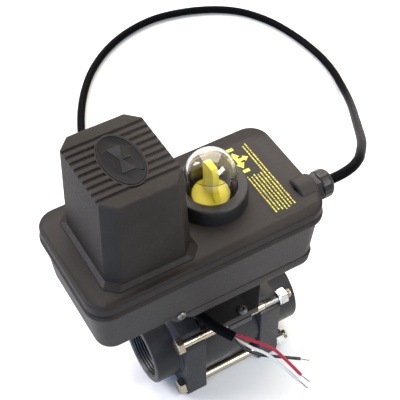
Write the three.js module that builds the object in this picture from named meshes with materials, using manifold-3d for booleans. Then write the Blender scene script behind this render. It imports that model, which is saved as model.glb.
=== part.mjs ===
// A motor-driven diverter valve: a geared electric drive in a moulded case, standing on a
// three-port ball valve whose two flanged end caps are held by long tie bolts.
// Millimetres, +Z up. The origin is under the middle of the case, on the surface that the
// flanges rest on. X runs along the two in-line ports, and the third port faces +Y.

import * as THREE from "three";
import { mergeVertices } from "three/addons/utils/BufferGeometryUtils.js";
import Module from "manifold-3d";

// ---- Clearances ----
const touchGap = 0.3;
const runningGap = 0.4;

// ---- Case ----
const caseLength = 197;
const caseWidth = 104;
const caseCorner = 17;
const caseWall = 3;
const rimHeight = 4.4;
const rimOverhang = 2.5;
const trayTaper = 0.095;
const shallowDepth = 45;
const deepDepth = 56.5;
const deepStartX = -20;
const stepSlope = 1.05;
const lidHeight = 9.7;
const lidInset = 3;
const partingGap = 0.6;
const caseScrewInset = 18;
const sealScrewX = -28;

// ---- Motor cover ----
const coverLength = 69.4;
const coverWidth = 80.2;
const coverHeight = 78.6;
const coverChamfer = 9.4;
const coverDraftX = 3.1;
const coverDraftY = 1.4;
const coverFoot = 5;
const bladeWidth = 5.2;
const ribCount = 9;
const ribPitch = 6.4;
const ribDepth = 1.2;
const badgeHalfX = 14;
const badgeHalfY = 24.6;

// ---- Drive ----
const stemX = 24.6;
const gearModule = 1.5;
const outputTeeth = 38;
const idlerPinionTeeth = 12;
const idlerWheelTeeth = 30;
const motorPinionTeeth = 12;
const gearBacklash = 0.5;
const outputGearWidth = 10;
const wheelWidth = 6;
const shaftRadius = 6;
const axleRadius = 3;
const couplingWall = 3.2;
const motorRadius = 18;
const gearheadRadius = 22;
const gearPlateThickness = 3;

// ---- Indicator ----
const collarWall = 6;
const collarHeight = 14.6;
const domeOuter = 19;
const domeWall = 1.8;
const domeStraight = 25;
const discRadius = 14.9;
const labelWidth = 27;
const labelLength = 80;

// ---- Valve ----
const ballRadius = 26.5;
const ballBore = 16;
const seatGap = 0.4;
const waterwayRadius = 18.6;
const chamberGap = 2.5;
const bodyWall = 6;
const seatThickness = 6.35;
const flangeThickness = 18.6;
const flangeEdge = 6.5;
const flangeCorner = 10;
const portLength = 22.9;
const portOuter = 29.8;
const portBore = 23.5;
const threadDepth = 28;
const rearPortOuter = 25;
const rearPortBore = 19;
const rearPortLength = 16.5;
const stemRadius = 8;
const stemSealWidth = 2.4;
const boltRadius = 4;
const boltClear = 4.1;
const boltHeadAcross = 12.6;

// ---- Mounting ----
const plateRise = 58;
const plateThickness = 6;
const plateHalfX = 37;
const plateHalfY = 48;
const plateCornerX = 20;
const plateCornerY = 27;
const plateScrewInset = 5.5;
const neckHeight = 23.5;
const neckWall = 7;

// ---- Gland and cable ----
const glandY = -24.5;
const glandRise = 7;
const glandThread = 8;
const bossWall = 4.2;
const glandNutRadius = 11.4;
const cableRadius = 4.1;
const wireRadius = 1.3;
const strandRadius = 0.7;

// ---- Worked out ----
const halfLength = caseLength / 2;
const halfWidth = caseWidth / 2;
const chamberRadius = ballRadius + chamberGap;
const bodyRadius = chamberRadius + bodyWall;
const boltOffset = (bodyRadius + boltClear + boltRadius) / Math.SQRT2;
const flangeHalf = boltOffset + flangeEdge;
const valveZ = flangeHalf;
const seatFace = Math.sqrt((ballRadius + seatGap) ** 2 - waterwayRadius ** 2);
const bodyHalf = seatFace + seatThickness + touchGap;
const flangeOuter = bodyHalf + flangeThickness;
const portReach = flangeOuter + portLength;
const rearPortReach = bodyRadius + rearPortLength;
const rearSeatEnd = chamberRadius + 3;
const plateTop = valveZ + plateRise;
const plateBottom = plateTop - plateThickness;
const deepBottom = plateTop + neckHeight;
const rimBottom = deepBottom + deepDepth;
const trayTop = rimBottom - 1.5;
const shallowBottom = rimBottom - shallowDepth;
const lidBottom = rimBottom + rimHeight + partingGap;
const lidTop = lidBottom + lidHeight;
const fittingBase = lidTop + touchGap;
const coverTop = fittingBase + coverHeight;
const gearPlateBottom = rimBottom - 2.5;
const gearPlateTop = gearPlateBottom + gearPlateThickness;
const driveFloor = gearPlateTop + touchGap;
const idlerX = stemX - (gearModule * (outputTeeth + idlerPinionTeeth)) / 2;
const motorX = idlerX - (gearModule * (idlerWheelTeeth + motorPinionTeeth)) / 2;
const couplingRadius = stemRadius + touchGap + couplingWall;
const neckBore = couplingRadius + 2 * runningGap;
const neckRadius = neckBore + neckWall;
const glandZ = rimBottom + glandRise;
const bossRadius = glandThread + touchGap + bossWall;
const domeFlange = domeOuter + 2.6;
const collarOuter = domeFlange + touchGap + collarWall;
const roundSides = 24;

const wasm = await Module();
wasm.setup();

const part = new THREE.Group();

// ---- Materials ----
function finish(color, roughness, metalness, extra = {}) {
  return new THREE.MeshStandardMaterial({ color, roughness, metalness, ...extra });
}
const blackCase = finish(0x2b2826, 0.62, 0);
const blackSmooth = finish(0x1c1b1b, 0.4, 0);
const valvePlastic = finish(0x3a3734, 0.5, 0);
const clearPlastic = finish(0xf2efe6, 0.08, 0, { transparent: true, opacity: 0.3 });
const yellowPlastic = finish(0xe3da2e, 0.45, 0);
const stainless = finish(0xc9c9c6, 0.3, 1);
const rodSteel = finish(0xb9b29a, 0.35, 1);
const brassMetal = finish(0xb59a4c, 0.4, 1);
const sealRubber = finish(0x151515, 0.8, 0);
const seatPlastic = finish(0xe9e7df, 0.5, 0);
const ballPlastic = finish(0x4a4744, 0.3, 0);
const boardGreen = finish(0x1f5c36, 0.6, 0);
const sheathBlack = finish(0x0f0f10, 0.35, 0);
const wireRed = finish(0xb0283c, 0.4, 0);
const wireWhite = finish(0xe8e6e0, 0.4, 0);
const wireBlack = finish(0x161618, 0.4, 0);

// ---- Solids ----
function solid(geometry) {
  const plain = new THREE.BufferGeometry();
  plain.setAttribute("position", geometry.getAttribute("position"));
  if (geometry.index) plain.setIndex(geometry.index);
  const merged = mergeVertices(plain, 1e-3);
  return new wasm.Manifold(
    new wasm.Mesh({
      numProp: 3,
      vertProperties: new Float32Array(merged.getAttribute("position").array),
      triVerts: new Uint32Array(merged.index.array),
    }),
  );
}

function geometryOf(body) {
  const mesh = body.getMesh();
  const points = new Float32Array(mesh.numVert * 3);
  for (let i = 0; i < mesh.numVert; i++) {
    points.set(mesh.vertProperties.subarray(i * mesh.numProp, i * mesh.numProp + 3), i * 3);
  }
  const indexed = new THREE.BufferGeometry();
  indexed.setAttribute("position", new THREE.BufferAttribute(points, 3));
  indexed.setIndex(new THREE.BufferAttribute(new Uint32Array(mesh.triVerts), 1));
  const flat = indexed.toNonIndexed();
  flat.computeVertexNormals();
  return flat;
}

function join(first, ...rest) {
  return rest.reduce((sum, next) => sum.add(next), first);
}

function cut(first, ...rest) {
  return rest.reduce((left, next) => left.subtract(next), first);
}

function addPiece(name, body, material, group = part) {
  const mesh = new THREE.Mesh(geometryOf(body), material);
  mesh.name = name;
  group.add(mesh);
  return mesh;
}

// A cylinder from one height to another along an axis; `across` places its centre line.
// A hexagon lies with two flats level.
function rod(axis, from, to, radius, across = [0, 0], sides = roundSides, endRadius = radius) {
  const start = sides === 6 ? Math.PI / 6 : 0;
  const geometry = new THREE.CylinderGeometry(endRadius, radius, to - from, sides, 1, false, start);
  const middle = (from + to) / 2;
  if (axis === "x") {
    geometry.rotateZ(-Math.PI / 2);
    geometry.translate(middle, across[0], across[1]);
  }
  if (axis === "y") {
    geometry.translate(across[0], middle, across[1]);
  }
  if (axis === "z") {
    geometry.rotateX(Math.PI / 2);
    geometry.translate(across[0], across[1], middle);
  }
  return solid(geometry);
}

function block(low, high) {
  const size = high.map((value, i) => value - low[i]);
  const geometry = new THREE.BoxGeometry(...size);
  geometry.translate(...high.map((value, i) => (value + low[i]) / 2));
  return solid(geometry);
}

// A closed ring about an axis from [radius, along] points, listed so that its faces point out.
function turned(axis, profile, at, sides = roundSides) {
  const points = profile.map(([radius, along]) => new THREE.Vector2(radius, along));
  points.push(points[0].clone());
  const geometry = new THREE.LatheGeometry(points, sides);
  if (axis === "x") geometry.rotateZ(-Math.PI / 2);
  if (axis === "z") geometry.rotateX(Math.PI / 2);
  geometry.translate(...at);
  return solid(geometry);
}

function seatRing(axis, inner, outer, from, to, at, sides = roundSides) {
  const profile = [
    [inner, from],
    [outer, from],
    [outer, to],
    [inner, to],
  ];
  return turned(axis, profile, at, sides);
}

// A solid lofted through convex outlines that have the same number of points.
function loft(rings) {
  const sides = rings[0].length;
  const points = rings.flat(2);
  const faces = [];
  for (let level = 0; level + 1 < rings.length; level++) {
    for (let i = 0; i < sides; i++) {
      const a = level * sides + i;
      const b = level * sides + ((i + 1) % sides);
      faces.push(a, b, b + sides, a, b + sides, a + sides);
    }
  }
  const top = (rings.length - 1) * sides;
  for (let i = 1; i + 1 < sides; i++) {
    faces.push(0, i + 1, i, top, top + i, top + i + 1);
  }
  const geometry = new THREE.BufferGeometry();
  geometry.setAttribute("position", new THREE.Float32BufferAttribute(points, 3));
  geometry.setIndex(faces);
  return solid(geometry);
}

// A rectangle with round corners, centred on [x, 0], at one height.
function roundedRing(halfX, halfY, radius, z, x = 0, steps = 4) {
  const ring = [];
  const signs = [
    [1, 1],
    [-1, 1],
    [-1, -1],
    [1, -1],
  ];
  signs.forEach(([signX, signY], corner) => {
    for (let step = 0; step <= steps; step++) {
      const angle = ((corner + step / steps) * Math.PI) / 2;
      ring.push([
        x + signX * (halfX - radius) + radius * Math.cos(angle),
        signY * (halfY - radius) + radius * Math.sin(angle),
        z,
      ]);
    }
  });
  return ring;
}

function octagonRing(halfX, halfY, cornerX, cornerY, z, x = 0) {
  return [
    [x + halfX, -halfY + cornerY, z],
    [x + halfX, halfY - cornerY, z],
    [x + halfX - cornerX, halfY, z],
    [x - halfX + cornerX, halfY, z],
    [x - halfX, halfY - cornerY, z],
    [x - halfX, -halfY + cornerY, z],
    [x - halfX + cornerX, -halfY, z],
    [x + halfX - cornerX, -halfY, z],
  ];
}

function ovalRing(halfX, halfY, z, x, sides = 24) {
  return Array.from({ length: sides }, (_, i) => {
    const angle = (2 * Math.PI * i) / sides;
    return [x + halfX * Math.cos(angle), halfY * Math.sin(angle), z];
  });
}

// ---- Base tray ----
function trayInset(z) {
  return rimOverhang + (trayTop - Math.min(z, trayTop)) * trayTaper;
}

function trayRing(z, inset = 0) {
  const shrink = trayInset(z) + inset;
  return roundedRing(halfLength - shrink, halfWidth - shrink, Math.max(caseCorner - shrink * 0.6, 4), z);
}

// The deeper right-hand part of the tray starts at a sloping step.
function deepRing(z, inset = 0) {
  const shrink = trayInset(z) + inset;
  const left = deepStartX - (z - deepBottom) * stepSlope + inset;
  const right = halfLength - shrink;
  return roundedRing((right - left) / 2, halfWidth - shrink, 9, z, (right + left) / 2);
}

function floorUnder(x) {
  return x > deepStartX ? deepBottom : shallowBottom;
}

const columnPlaces = [
  [-1, -1],
  [1, -1],
  [1, 1],
  [-1, 1],
].map(([signX, signY]) => [
  signX * (halfLength - caseScrewInset),
  signY * (halfWidth - caseScrewInset),
]);
const columnRadius = 6;
const caseScrewRadius = 2;
const idlerBearing = deepBottom + 6;
const sealScrewZ = shallowBottom + 4;

function makeRim() {
  return loft([
    roundedRing(halfLength - 1.2, halfWidth - 1.2, caseCorner - 1, rimBottom - 0.4),
    roundedRing(halfLength, halfWidth, caseCorner, rimBottom + 0.8),
    roundedRing(halfLength, halfWidth, caseCorner, rimBottom + rimHeight - 1),
    roundedRing(halfLength - 0.9, halfWidth - 0.9, caseCorner - 0.8, rimBottom + rimHeight),
  ]);
}

// A band that follows the rim, between two distances in from it.
function rimBand(outer, inner, low, high) {
  const ring = (inset, z) => roundedRing(halfLength - inset, halfWidth - inset, caseCorner - inset, z);
  const outside = loft([ring(outer, low), ring(outer, high)]);
  return cut(outside, loft([ring(inner, low - 1), ring(inner, high + 1)]));
}

function glandClearance() {
  return rod("x", halfLength - 19, halfLength + 2, bossRadius + touchGap, [glandY, glandZ], 24);
}

function makeTray() {
  const shell = loft([trayRing(shallowBottom, 2), trayRing(shallowBottom + 2), trayRing(rimBottom + 1)]);
  const deepTop = shallowBottom + 2;
  const deepShell = loft([deepRing(deepBottom, 2), deepRing(deepBottom + 2), deepRing(deepTop)]);
  const cavity = loft([trayRing(shallowBottom + caseWall, caseWall), trayRing(rimBottom + 8, caseWall)]);
  const deepCavity = loft([
    deepRing(deepBottom + caseWall, caseWall),
    deepRing(deepTop + caseWall, caseWall),
  ]);
  const hollow = cut(join(shell, deepShell, makeRim()), cavity, deepCavity);
  const columns = columnPlaces.map(([x, y]) => {
    return rod("z", floorUnder(x) + 1, gearPlateBottom - touchGap, columnRadius, [x, y], 12);
  });
  const lugPlace = [sealScrewX, -halfWidth + 13];
  const lug = rod("z", shallowBottom - 4, shallowBottom + 9, 7, lugPlace, 16);
  const bearing = rod("z", deepBottom + 1, idlerBearing + 12, 7, [idlerX, 0], 16);
  const counterbores = columnPlaces.map(([x, y]) => {
    return rod("z", floorUnder(x) - 1, floorUnder(x) + 4, 5, [x, y], 16);
  });
  const screwHoles = columnPlaces.map(([x, y]) => {
    return rod("z", floorUnder(x), floorUnder(x) + 30, caseScrewRadius + touchGap, [x, y], 8);
  });
  return cut(
    join(hollow, ...columns, lug, bearing),
    ...counterbores,
    ...screwHoles,
    rod("z", idlerBearing, deepBottom + 30, axleRadius + runningGap, [idlerX, 0], 16),
    rod("z", deepBottom - 5, deepBottom + 20, shaftRadius + runningGap, [stemX, 0], 20),
    rimBand(1.9, 4.1, rimBottom + rimHeight - 1.6, rimBottom + rimHeight + 2),
    glandClearance(),
    rod("y", -halfWidth, -halfWidth + 12, 2.4, [sealScrewX, sealScrewZ], 12),
  );
}

function makeSealScrew() {
  const face = halfWidth - trayInset(sealScrewZ);
  const head = rod("y", -face - 2.2, -face - 0.6, 3.6, [sealScrewX, sealScrewZ], 16);
  const shank = rod("y", -face - 0.7, -face + 2.4, 2, [sealScrewX, sealScrewZ], 12);
  const slot = block(
    [sealScrewX - 2.6, -face - 3, sealScrewZ - 0.4],
    [sealScrewX + 2.6, -face - 1.5, sealScrewZ + 0.4],
  );
  return cut(join(head, shank), slot);
}

function makeGasket() {
  const groove = rimBottom + rimHeight - 1.6;
  return cut(rimBand(2.2, 3.8, groove + touchGap, lidBottom - touchGap), glandClearance());
}

// ---- Lid ----
function lidRing(z, inset) {
  return roundedRing(halfLength - inset, halfWidth - inset, caseCorner - inset, z);
}

function makeLid() {
  const outer = loft([
    lidRing(lidBottom, 0.9),
    lidRing(lidBottom + 0.76 * lidHeight, 0.9),
    lidRing(lidBottom + 0.92 * lidHeight, 1.6),
    lidRing(lidTop, lidInset),
  ]);
  const inner = loft([
    lidRing(lidBottom - 1, caseWall + 1.9),
    lidRing(lidTop - caseWall, caseWall + 4.4),
  ]);
  const opening = (z) => octagonRing(coverLength / 2 - 7, coverWidth / 2 - 7, 8, 8, z, motorX);
  const motorOpening = loft([opening(lidTop - 8), opening(lidTop + 2)]);
  const shaftHole = rod("z", lidTop - 8, lidTop + 2, shaftRadius + runningGap, [stemX, 0], 20);
  const boss = rod("x", halfLength - 15, halfLength - 0.1, bossRadius, [glandY, glandZ], 24);
  const bossBore = rod("x", halfLength - 20, halfLength + 2, glandThread + touchGap, [glandY, glandZ], 16);
  return cut(join(cut(outer, inner), boss), motorOpening, shaftHole, bossBore);
}

function makeLabel() {
  const left = collarOuter + stemX + 3.1;
  const front = -labelLength / 2 - 1;
  const low = [left, front, fittingBase];
  return block(low, [left + labelWidth, front + labelLength, fittingBase + 0.4]);
}

// ---- Motor cover ----
function coverRing(z, extra = 0) {
  const rise = (z - lidTop) / coverHeight;
  return octagonRing(
    coverLength / 2 - coverDraftX * rise + extra,
    coverWidth / 2 - coverDraftY * rise + extra,
    coverChamfer,
    coverChamfer,
    z,
    motorX,
  );
}

function makeCover() {
  const base = fittingBase;
  const foot = loft([coverRing(base, coverFoot), coverRing(base + 0.8, coverFoot), coverRing(base + 3.6, 0.4)]);
  const shell = loft([coverRing(base), coverRing(coverTop - 1), coverRing(coverTop, -0.9)]);
  const cavity = loft([coverRing(base - 1, -caseWall), coverRing(coverTop - caseWall - 1, -caseWall)]);
  const oval = (z, margin) => ovalRing(badgeHalfX + margin, badgeHalfY + margin, z, motorX);
  const platform = loft([oval(coverTop - 5, 1.2), oval(coverTop + 3, 1.2)]);
  const grooves = Array.from({ length: ribCount }, (_, i) => {
    const y = (i - (ribCount - 1) / 2) * ribPitch;
    const low = [motorX - coverLength, y - ribPitch / 4, coverTop - ribDepth];
    const high = [motorX + coverLength, y + ribPitch / 4, coverTop + 2];
    return cut(block(low, high), platform);
  });
  const pocket = loft([oval(coverTop - 1.1, touchGap), oval(coverTop + 3, touchGap)]);
  return cut(join(shell, foot), cavity, ...grooves, pocket);
}

// The badge carries the drawing symbol for a valve: two triangles point to point and a stem.
function makeBadge() {
  const low = coverTop - 0.8;
  const face = coverTop - 0.1;
  const oval = (z, inset = 0) => ovalRing(badgeHalfX - inset, badgeHalfY - inset, z, motorX);
  const plate = loft([oval(low), oval(face)]);
  const sign = new THREE.Shape();
  sign.moveTo(-5, -12);
  sign.lineTo(5, -12);
  sign.lineTo(1, -0.8);
  sign.lineTo(7, -0.8);
  sign.lineTo(7, 0.8);
  sign.lineTo(1, 0.8);
  sign.lineTo(5, 12);
  sign.lineTo(-5, 12);
  sign.lineTo(-1, 0);
  const relief = new THREE.ExtrudeGeometry(sign, { depth: 0.9, bevelEnabled: false });
  relief.translate(motorX, 0, face - 0.4);
  const border = cut(loft([oval(low), oval(face + 0.4)]), loft([oval(low - 1, 1.1), oval(face + 2, 1.1)]));
  return join(plate, border, solid(relief));
}

// ---- Collar, dome and indicator ----
const domeBase = fittingBase + 2.5;
const domeFlangeTop = domeBase + 3.4;
const domeSpring = domeBase + domeStraight;

function makeCollar() {
  const top = fittingBase + collarHeight;
  return turned(
    "z",
    [
      [domeFlange + touchGap, fittingBase],
      [collarOuter, fittingBase],
      [collarOuter, top - 0.8],
      [collarOuter - 0.8, top],
      [domeOuter + 1.2, top],
      [domeOuter + touchGap, top - 1],
      [domeOuter + touchGap, domeFlangeTop + touchGap],
      [domeFlange + touchGap, domeFlangeTop + touchGap],
    ],
    [stemX, 0, 0],
    28,
  );
}

function makeDome() {
  const steps = 5;
  const outer = Array.from({ length: steps + 1 }, (_, i) => {
    const angle = (i / steps) * (Math.PI / 2);
    return [domeOuter * Math.cos(angle), domeSpring + domeOuter * Math.sin(angle)];
  });
  const innerRadius = domeOuter - domeWall;
  const inner = Array.from({ length: steps + 1 }, (_, i) => {
    const angle = (1 - i / steps) * (Math.PI / 2);
    return [innerRadius * Math.cos(angle), domeSpring + innerRadius * Math.sin(angle)];
  });
  outer[steps][0] = 0;
  inner[0][0] = 0;
  const profile = [
    ...inner,
    [innerRadius, domeBase],
    [domeFlange, domeBase],
    [domeFlange, domeFlangeTop],
    [domeOuter, domeFlangeTop],
    ...outer,
  ];
  const points = profile.map(([radius, along]) => new THREE.Vector2(radius, along));
  const geometry = new THREE.LatheGeometry(points, roundSides);
  geometry.rotateX(Math.PI / 2);
  geometry.translate(stemX, 0, 0);
  return solid(geometry);
}

function makeDomeSeal() {
  return seatRing("z", domeOuter - 1, domeFlange, fittingBase, domeBase - touchGap, [stemX, 0, 0]);
}

const discBottom = domeBase + 0.5;
const discTop = discBottom + 3.2;
const finTop = domeSpring + 8;

function makeIndicator() {
  const disc = turned(
    "z",
    [
      [0, discBottom],
      [discRadius - 1, discBottom],
      [discRadius, discBottom + 1],
      [discRadius, discTop - 0.6],
      [discRadius - 0.6, discTop],
      [0, discTop],
    ],
    [stemX, 0, 0],
  );
  const outline = new THREE.Shape();
  outline.moveTo(-discRadius + 2, discTop - 1);
  outline.quadraticCurveTo(-8, discTop + 6, -6.5, finTop - 3);
  outline.quadraticCurveTo(-5.5, finTop, -2, finTop);
  outline.lineTo(4, finTop);
  outline.quadraticCurveTo(7.5, finTop, 8, finTop - 4);
  outline.quadraticCurveTo(9, discTop + 5, discRadius - 2, discTop - 1);
  const blade = new THREE.ExtrudeGeometry(outline, { depth: bladeWidth, bevelEnabled: false, curveSegments: 4 });
  blade.rotateX(Math.PI / 2);
  blade.rotateZ(Math.PI / 2);
  blade.translate(stemX - bladeWidth / 2, 0, 0);
  const socket = rod("z", discBottom - 1, discBottom + 2, shaftRadius - 0.7, [stemX, 0], 6);
  return cut(join(disc, solid(blade)), socket);
}

// ---- Gland ----
const glandBodyEnd = halfLength + 4.6;
const glandNutEnd = glandBodyEnd + touchGap + 11.2;

function makeGlandBody() {
  const hex = rod("x", halfLength + 0.2, glandBodyEnd, 11.6, [glandY, glandZ], 6);
  const thread = rod("x", halfLength - 11, halfLength + 0.3, glandThread, [glandY, glandZ], 16);
  const bore = rod("x", halfLength - 12, glandBodyEnd + 1, cableRadius + 0.6, [glandY, glandZ], 16);
  return cut(join(hex, thread), bore);
}

function makeGlandNut() {
  const from = glandBodyEnd + touchGap;
  const bore = cableRadius + 0.4;
  return turned(
    "x",
    [
      [bore + 3.2, from],
      [glandNutRadius, from],
      [glandNutRadius, from + 7.5],
      [glandNutRadius - 1.2, from + 9.8],
      [glandNutRadius - 3.4, glandNutEnd],
      [bore, glandNutEnd],
      [bore, glandNutEnd - 1.5],
      [bore + 3.2, glandNutEnd - 1.5],
    ],
    [0, glandY, glandZ],
    24,
  );
}

function makeGlandSeal() {
  const from = glandBodyEnd + touchGap + 1;
  const to = glandNutEnd - 1.5 - touchGap;
  return seatRing("x", cableRadius + 0.3, cableRadius + 3.2, from, to, [0, glandY, glandZ], 16);
}

// ---- Cable and wires ----
// The cable leaves the gland, comes down to the surface behind the case, lies in one wide
// loop, climbs over the back of the mounting plate and ends in front of it.
const cableRoute = [
  [105, -24.5, 182],
  [117, -24.5, 182],
  [129, -23.9, 181.8],
  [140.2, -20.6, 180.2],
  [151, -13.7, 176.3],
  [161.5, -3.2, 168.6],
  [174, 10.5, 157],
  [192, 32, 137],
  [221, 70.5, 103.2],
  [250, 109.5, 69.4],
  [273, 141, 43.2],
  [290, 166.5, 24.5],
  [302, 188, 12.6],
  [310.5, 208.5, 6.4],
  [316.5, 231, 4.4],
  [318.5, 262, 4.3],
  [313, 306, 4.3],
  [301, 343, 4.3],
  [280, 374, 4.3],
  [245, 397, 4.3],
  [195, 410, 4.3],
  [154, 405, 4.3],
  [120, 390, 4.3],
  [88, 365, 4.3],
  [61, 331, 4.3],
  [41, 294, 4.3],
  [27, 255, 4.3],
  [17, 215, 4.3],
  [10, 180, 5.6],
  [5, 152, 15],
  [1, 130, 34],
  [-2, 111, 57],
  [-4, 93, 78],
  [-5, 75, 92],
  [-6, 56, 98.4],
  [-6, 30, 99.7],
  [-6, -6, 99.7],
  [-4.5, -30, 99.6],
  [0.5, -46.5, 98.6],
  [9.5, -60.5, 95],
];
const redRoute = [
  [11.4, -60.3, 96.3],
  [15.2, -64.6, 95.6],
  [23, -72.4, 93.2],
  [31.8, -82.7, 90],
  [36.4, -94.7, 86],
  [40.8, -108.4, 81],
];
const whiteRoute = [
  [9.9, -60.3, 92.8],
  [12.9, -65.2, 91.8],
  [18.2, -72.9, 89.8],
  [26.4, -81.6, 86],
  [32.7, -95, 81],
  [38.8, -108.1, 75],
];
const blackRoute = [
  [8.1, -62.1, 95.6],
  [9.9, -66.6, 93.4],
  [14, -72.4, 89.4],
  [21.5, -78.2, 84.8],
  [35.6, -84.6, 79],
  [51.2, -92.2, 74],
];
const redTip = [44.4, -115.3, 78];
const whiteTip = [42.2, -116.4, 72];
const blackTip = [57.7, -96.3, 72];

function section(radius, sides) {
  const shape = new THREE.Shape();
  for (let i = 0; i < sides; i++) {
    const angle = (2 * Math.PI * i) / sides;
    const x = radius * Math.cos(angle);
    const y = radius * Math.sin(angle);
    if (i === 0) shape.moveTo(x, y);
    else shape.lineTo(x, y);
  }
  return shape;
}

function tube(route, radius, sides, steps) {
  const points = route.map((place) => new THREE.Vector3(...place));
  const extrudePath = new THREE.CatmullRomCurve3(points, false, "centripetal");
  const options = { steps, extrudePath, bevelEnabled: false };
  return solid(new THREE.ExtrudeGeometry(section(radius, sides), options));
}

function makeWire(route, tip) {
  const insulation = tube(route, wireRadius, 8, 11);
  const strand = tube([route[route.length - 2], route[route.length - 1], tip], strandRadius, 8, 5);
  return join(insulation, strand);
}

// ---- Gears ----
function involute(base, radius) {
  const ratio = Math.sqrt((radius / base) ** 2 - 1);
  return ratio - Math.atan(ratio);
}

// Each tooth has straight flanks between the points of an involute at its foot and its tip.
function gearShape(teeth) {
  const pitch = (gearModule * teeth) / 2;
  const base = pitch * Math.cos((20 * Math.PI) / 180);
  const tip = pitch + 0.75 * gearModule;
  const root = pitch - 1.1 * gearModule;
  const halfTooth = Math.PI / (2 * teeth) - gearBacklash / (2 * pitch);
  const halfFoot = halfTooth + involute(base, pitch) - involute(base, Math.max(base, root));
  const halfTip = Math.max(halfTooth + involute(base, pitch) - involute(base, tip), 0.15 / tip);
  const shape = new THREE.Shape();
  for (let tooth = 0; tooth < teeth; tooth++) {
    const middle = (2 * Math.PI * tooth) / teeth;
    const corners = [
      [root, middle - halfFoot],
      [tip, middle - halfTip],
      [tip, middle + halfTip],
      [root, middle + halfFoot],
    ];
    corners.forEach(([radius, angle], i) => {
      const move = tooth + i === 0 ? "moveTo" : "lineTo";
      shape[move](radius * Math.cos(angle), radius * Math.sin(angle));
    });
  }
  return shape;
}

function gear(teeth, bottom, height, x, phase) {
  const geometry = new THREE.ExtrudeGeometry(gearShape(teeth), { depth: height, bevelEnabled: false });
  geometry.rotateZ(phase);
  geometry.translate(x, 0, bottom);
  return solid(geometry);
}

const outputGearBottom = deepBottom + 25.5;
const wheelBottom = outputGearBottom + outputGearWidth + 6;
const couplingBottom = plateTop + 3;
const couplingTop = deepBottom - 4;
const stemTop = couplingBottom + 9;
const motorShaftTop = driveFloor + 14;

function makeOutputGear() {
  const hub = rod("z", outputGearBottom, wheelBottom - 2, shaftRadius + 4, [stemX, 0], 20);
  const teeth = gear(outputTeeth, outputGearBottom, outputGearWidth, stemX, 0);
  const bore = rod("z", outputGearBottom - 1, wheelBottom, shaftRadius + touchGap, [stemX, 0], 20);
  return cut(join(teeth, hub), bore);
}

function makeIdler() {
  const wheel = gear(idlerWheelTeeth, wheelBottom, wheelWidth, idlerX, 0);
  const pinionBottom = outputGearBottom - 1.5;
  const pinionWidth = wheelBottom - pinionBottom;
  const pinion = gear(idlerPinionTeeth, pinionBottom, pinionWidth, idlerX, Math.PI / idlerPinionTeeth);
  const axle = rod("z", idlerBearing + 1, gearPlateTop - touchGap, axleRadius, [idlerX, 0], 16);
  return join(wheel, pinion, axle);
}

function makeMotorPinion() {
  const bottom = wheelBottom - 3;
  const teeth = gear(motorPinionTeeth, bottom, wheelWidth + 5, motorX, Math.PI / motorPinionTeeth);
  return join(teeth, rod("z", bottom, motorShaftTop, axleRadius, [motorX, 0], 16));
}

function makeOutputShaft() {
  const drive = rod("z", lidTop - 1, discBottom + 1.6, shaftRadius - 1, [stemX, 0], 6);
  const journal = rod("z", couplingTop - 1, lidTop, shaftRadius, [stemX, 0], 20);
  const coupling = rod("z", couplingBottom, couplingTop, couplingRadius, [stemX, 0], 20);
  const socket = rod("z", couplingBottom - 1, stemTop + 0.5, stemRadius + touchGap, [stemX, 0], 20);
  return cut(join(drive, journal, coupling), socket);
}

function makeCam() {
  const bottom = gearPlateTop + 1;
  const disc = rod("z", bottom, bottom + 5, shaftRadius + 6, [stemX, 0], 20);
  const lobe = rod("z", bottom, bottom + 5, 5, [stemX + shaftRadius + 4.5, 0], 16);
  return cut(join(disc, lobe), rod("z", bottom - 1, bottom + 6, shaftRadius + touchGap, [stemX, 0], 20));
}

function makeGearPlate() {
  const plate = loft([
    roundedRing(halfLength - 9, halfWidth - 8, 8, gearPlateBottom),
    roundedRing(halfLength - 9, halfWidth - 8, 8, gearPlateTop),
  ]);
  const holes = [
    rod("z", gearPlateBottom - 1, gearPlateTop + 1, shaftRadius + runningGap, [stemX, 0], 20),
    rod("z", gearPlateBottom - 1, gearPlateTop + 1, axleRadius + runningGap, [idlerX, 0], 16),
    rod("z", gearPlateBottom - 1, gearPlateTop + 1, axleRadius + runningGap, [motorX, 0], 16),
    glandClearance(),
  ];
  return cut(plate, ...holes);
}

function makeMotor() {
  const gearhead = rod("z", driveFloor, driveFloor + 24, gearheadRadius, [motorX, 0]);
  const can = rod("z", driveFloor + 23.5, driveFloor + 72, motorRadius, [motorX, 0]);
  const endBearing = rod("z", driveFloor + 71.5, driveFloor + 76, 6, [motorX, 0], 16);
  const bore = rod("z", driveFloor - 1, motorShaftTop + 1, axleRadius + runningGap, [motorX, 0], 16);
  return cut(join(gearhead, can, endBearing), bore);
}

function makeSwitch(side) {
  const cover = (low, high, bottom, top, halfX) => {
    const ends = [side * low, side * high].sort((a, b) => a - b);
    return block([stemX - halfX, ends[0], bottom], [stemX + halfX, ends[1], top]);
  };
  const near = shaftRadius + 12.5;
  const body = cover(near, near + 6.5, driveFloor, driveFloor + 9, 10);
  const lever = cover(near - 1.3, near + 0.3, driveFloor + 2, driveFloor + 5, 8);
  return join(body, lever);
}

const boardLeft = 59;
const boardTop = driveFloor + 1.6;

function makeBoard() {
  const board = block([boardLeft, -34, driveFloor], [halfLength - 17, 36, boardTop]);
  const relay = block([boardLeft + 3, 10, boardTop - 0.2], [boardLeft + 18, 28, boardTop + 6.4]);
  const chip = block([boardLeft + 4, -12, boardTop - 0.2], [boardLeft + 14, -4, boardTop + 1.8]);
  const capacitor = rod("z", boardTop - 0.2, boardTop + 7.4, 4, [boardLeft + 9, 2.5], 12);
  return join(cut(board, glandClearance()), relay, chip, capacitor);
}

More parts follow.
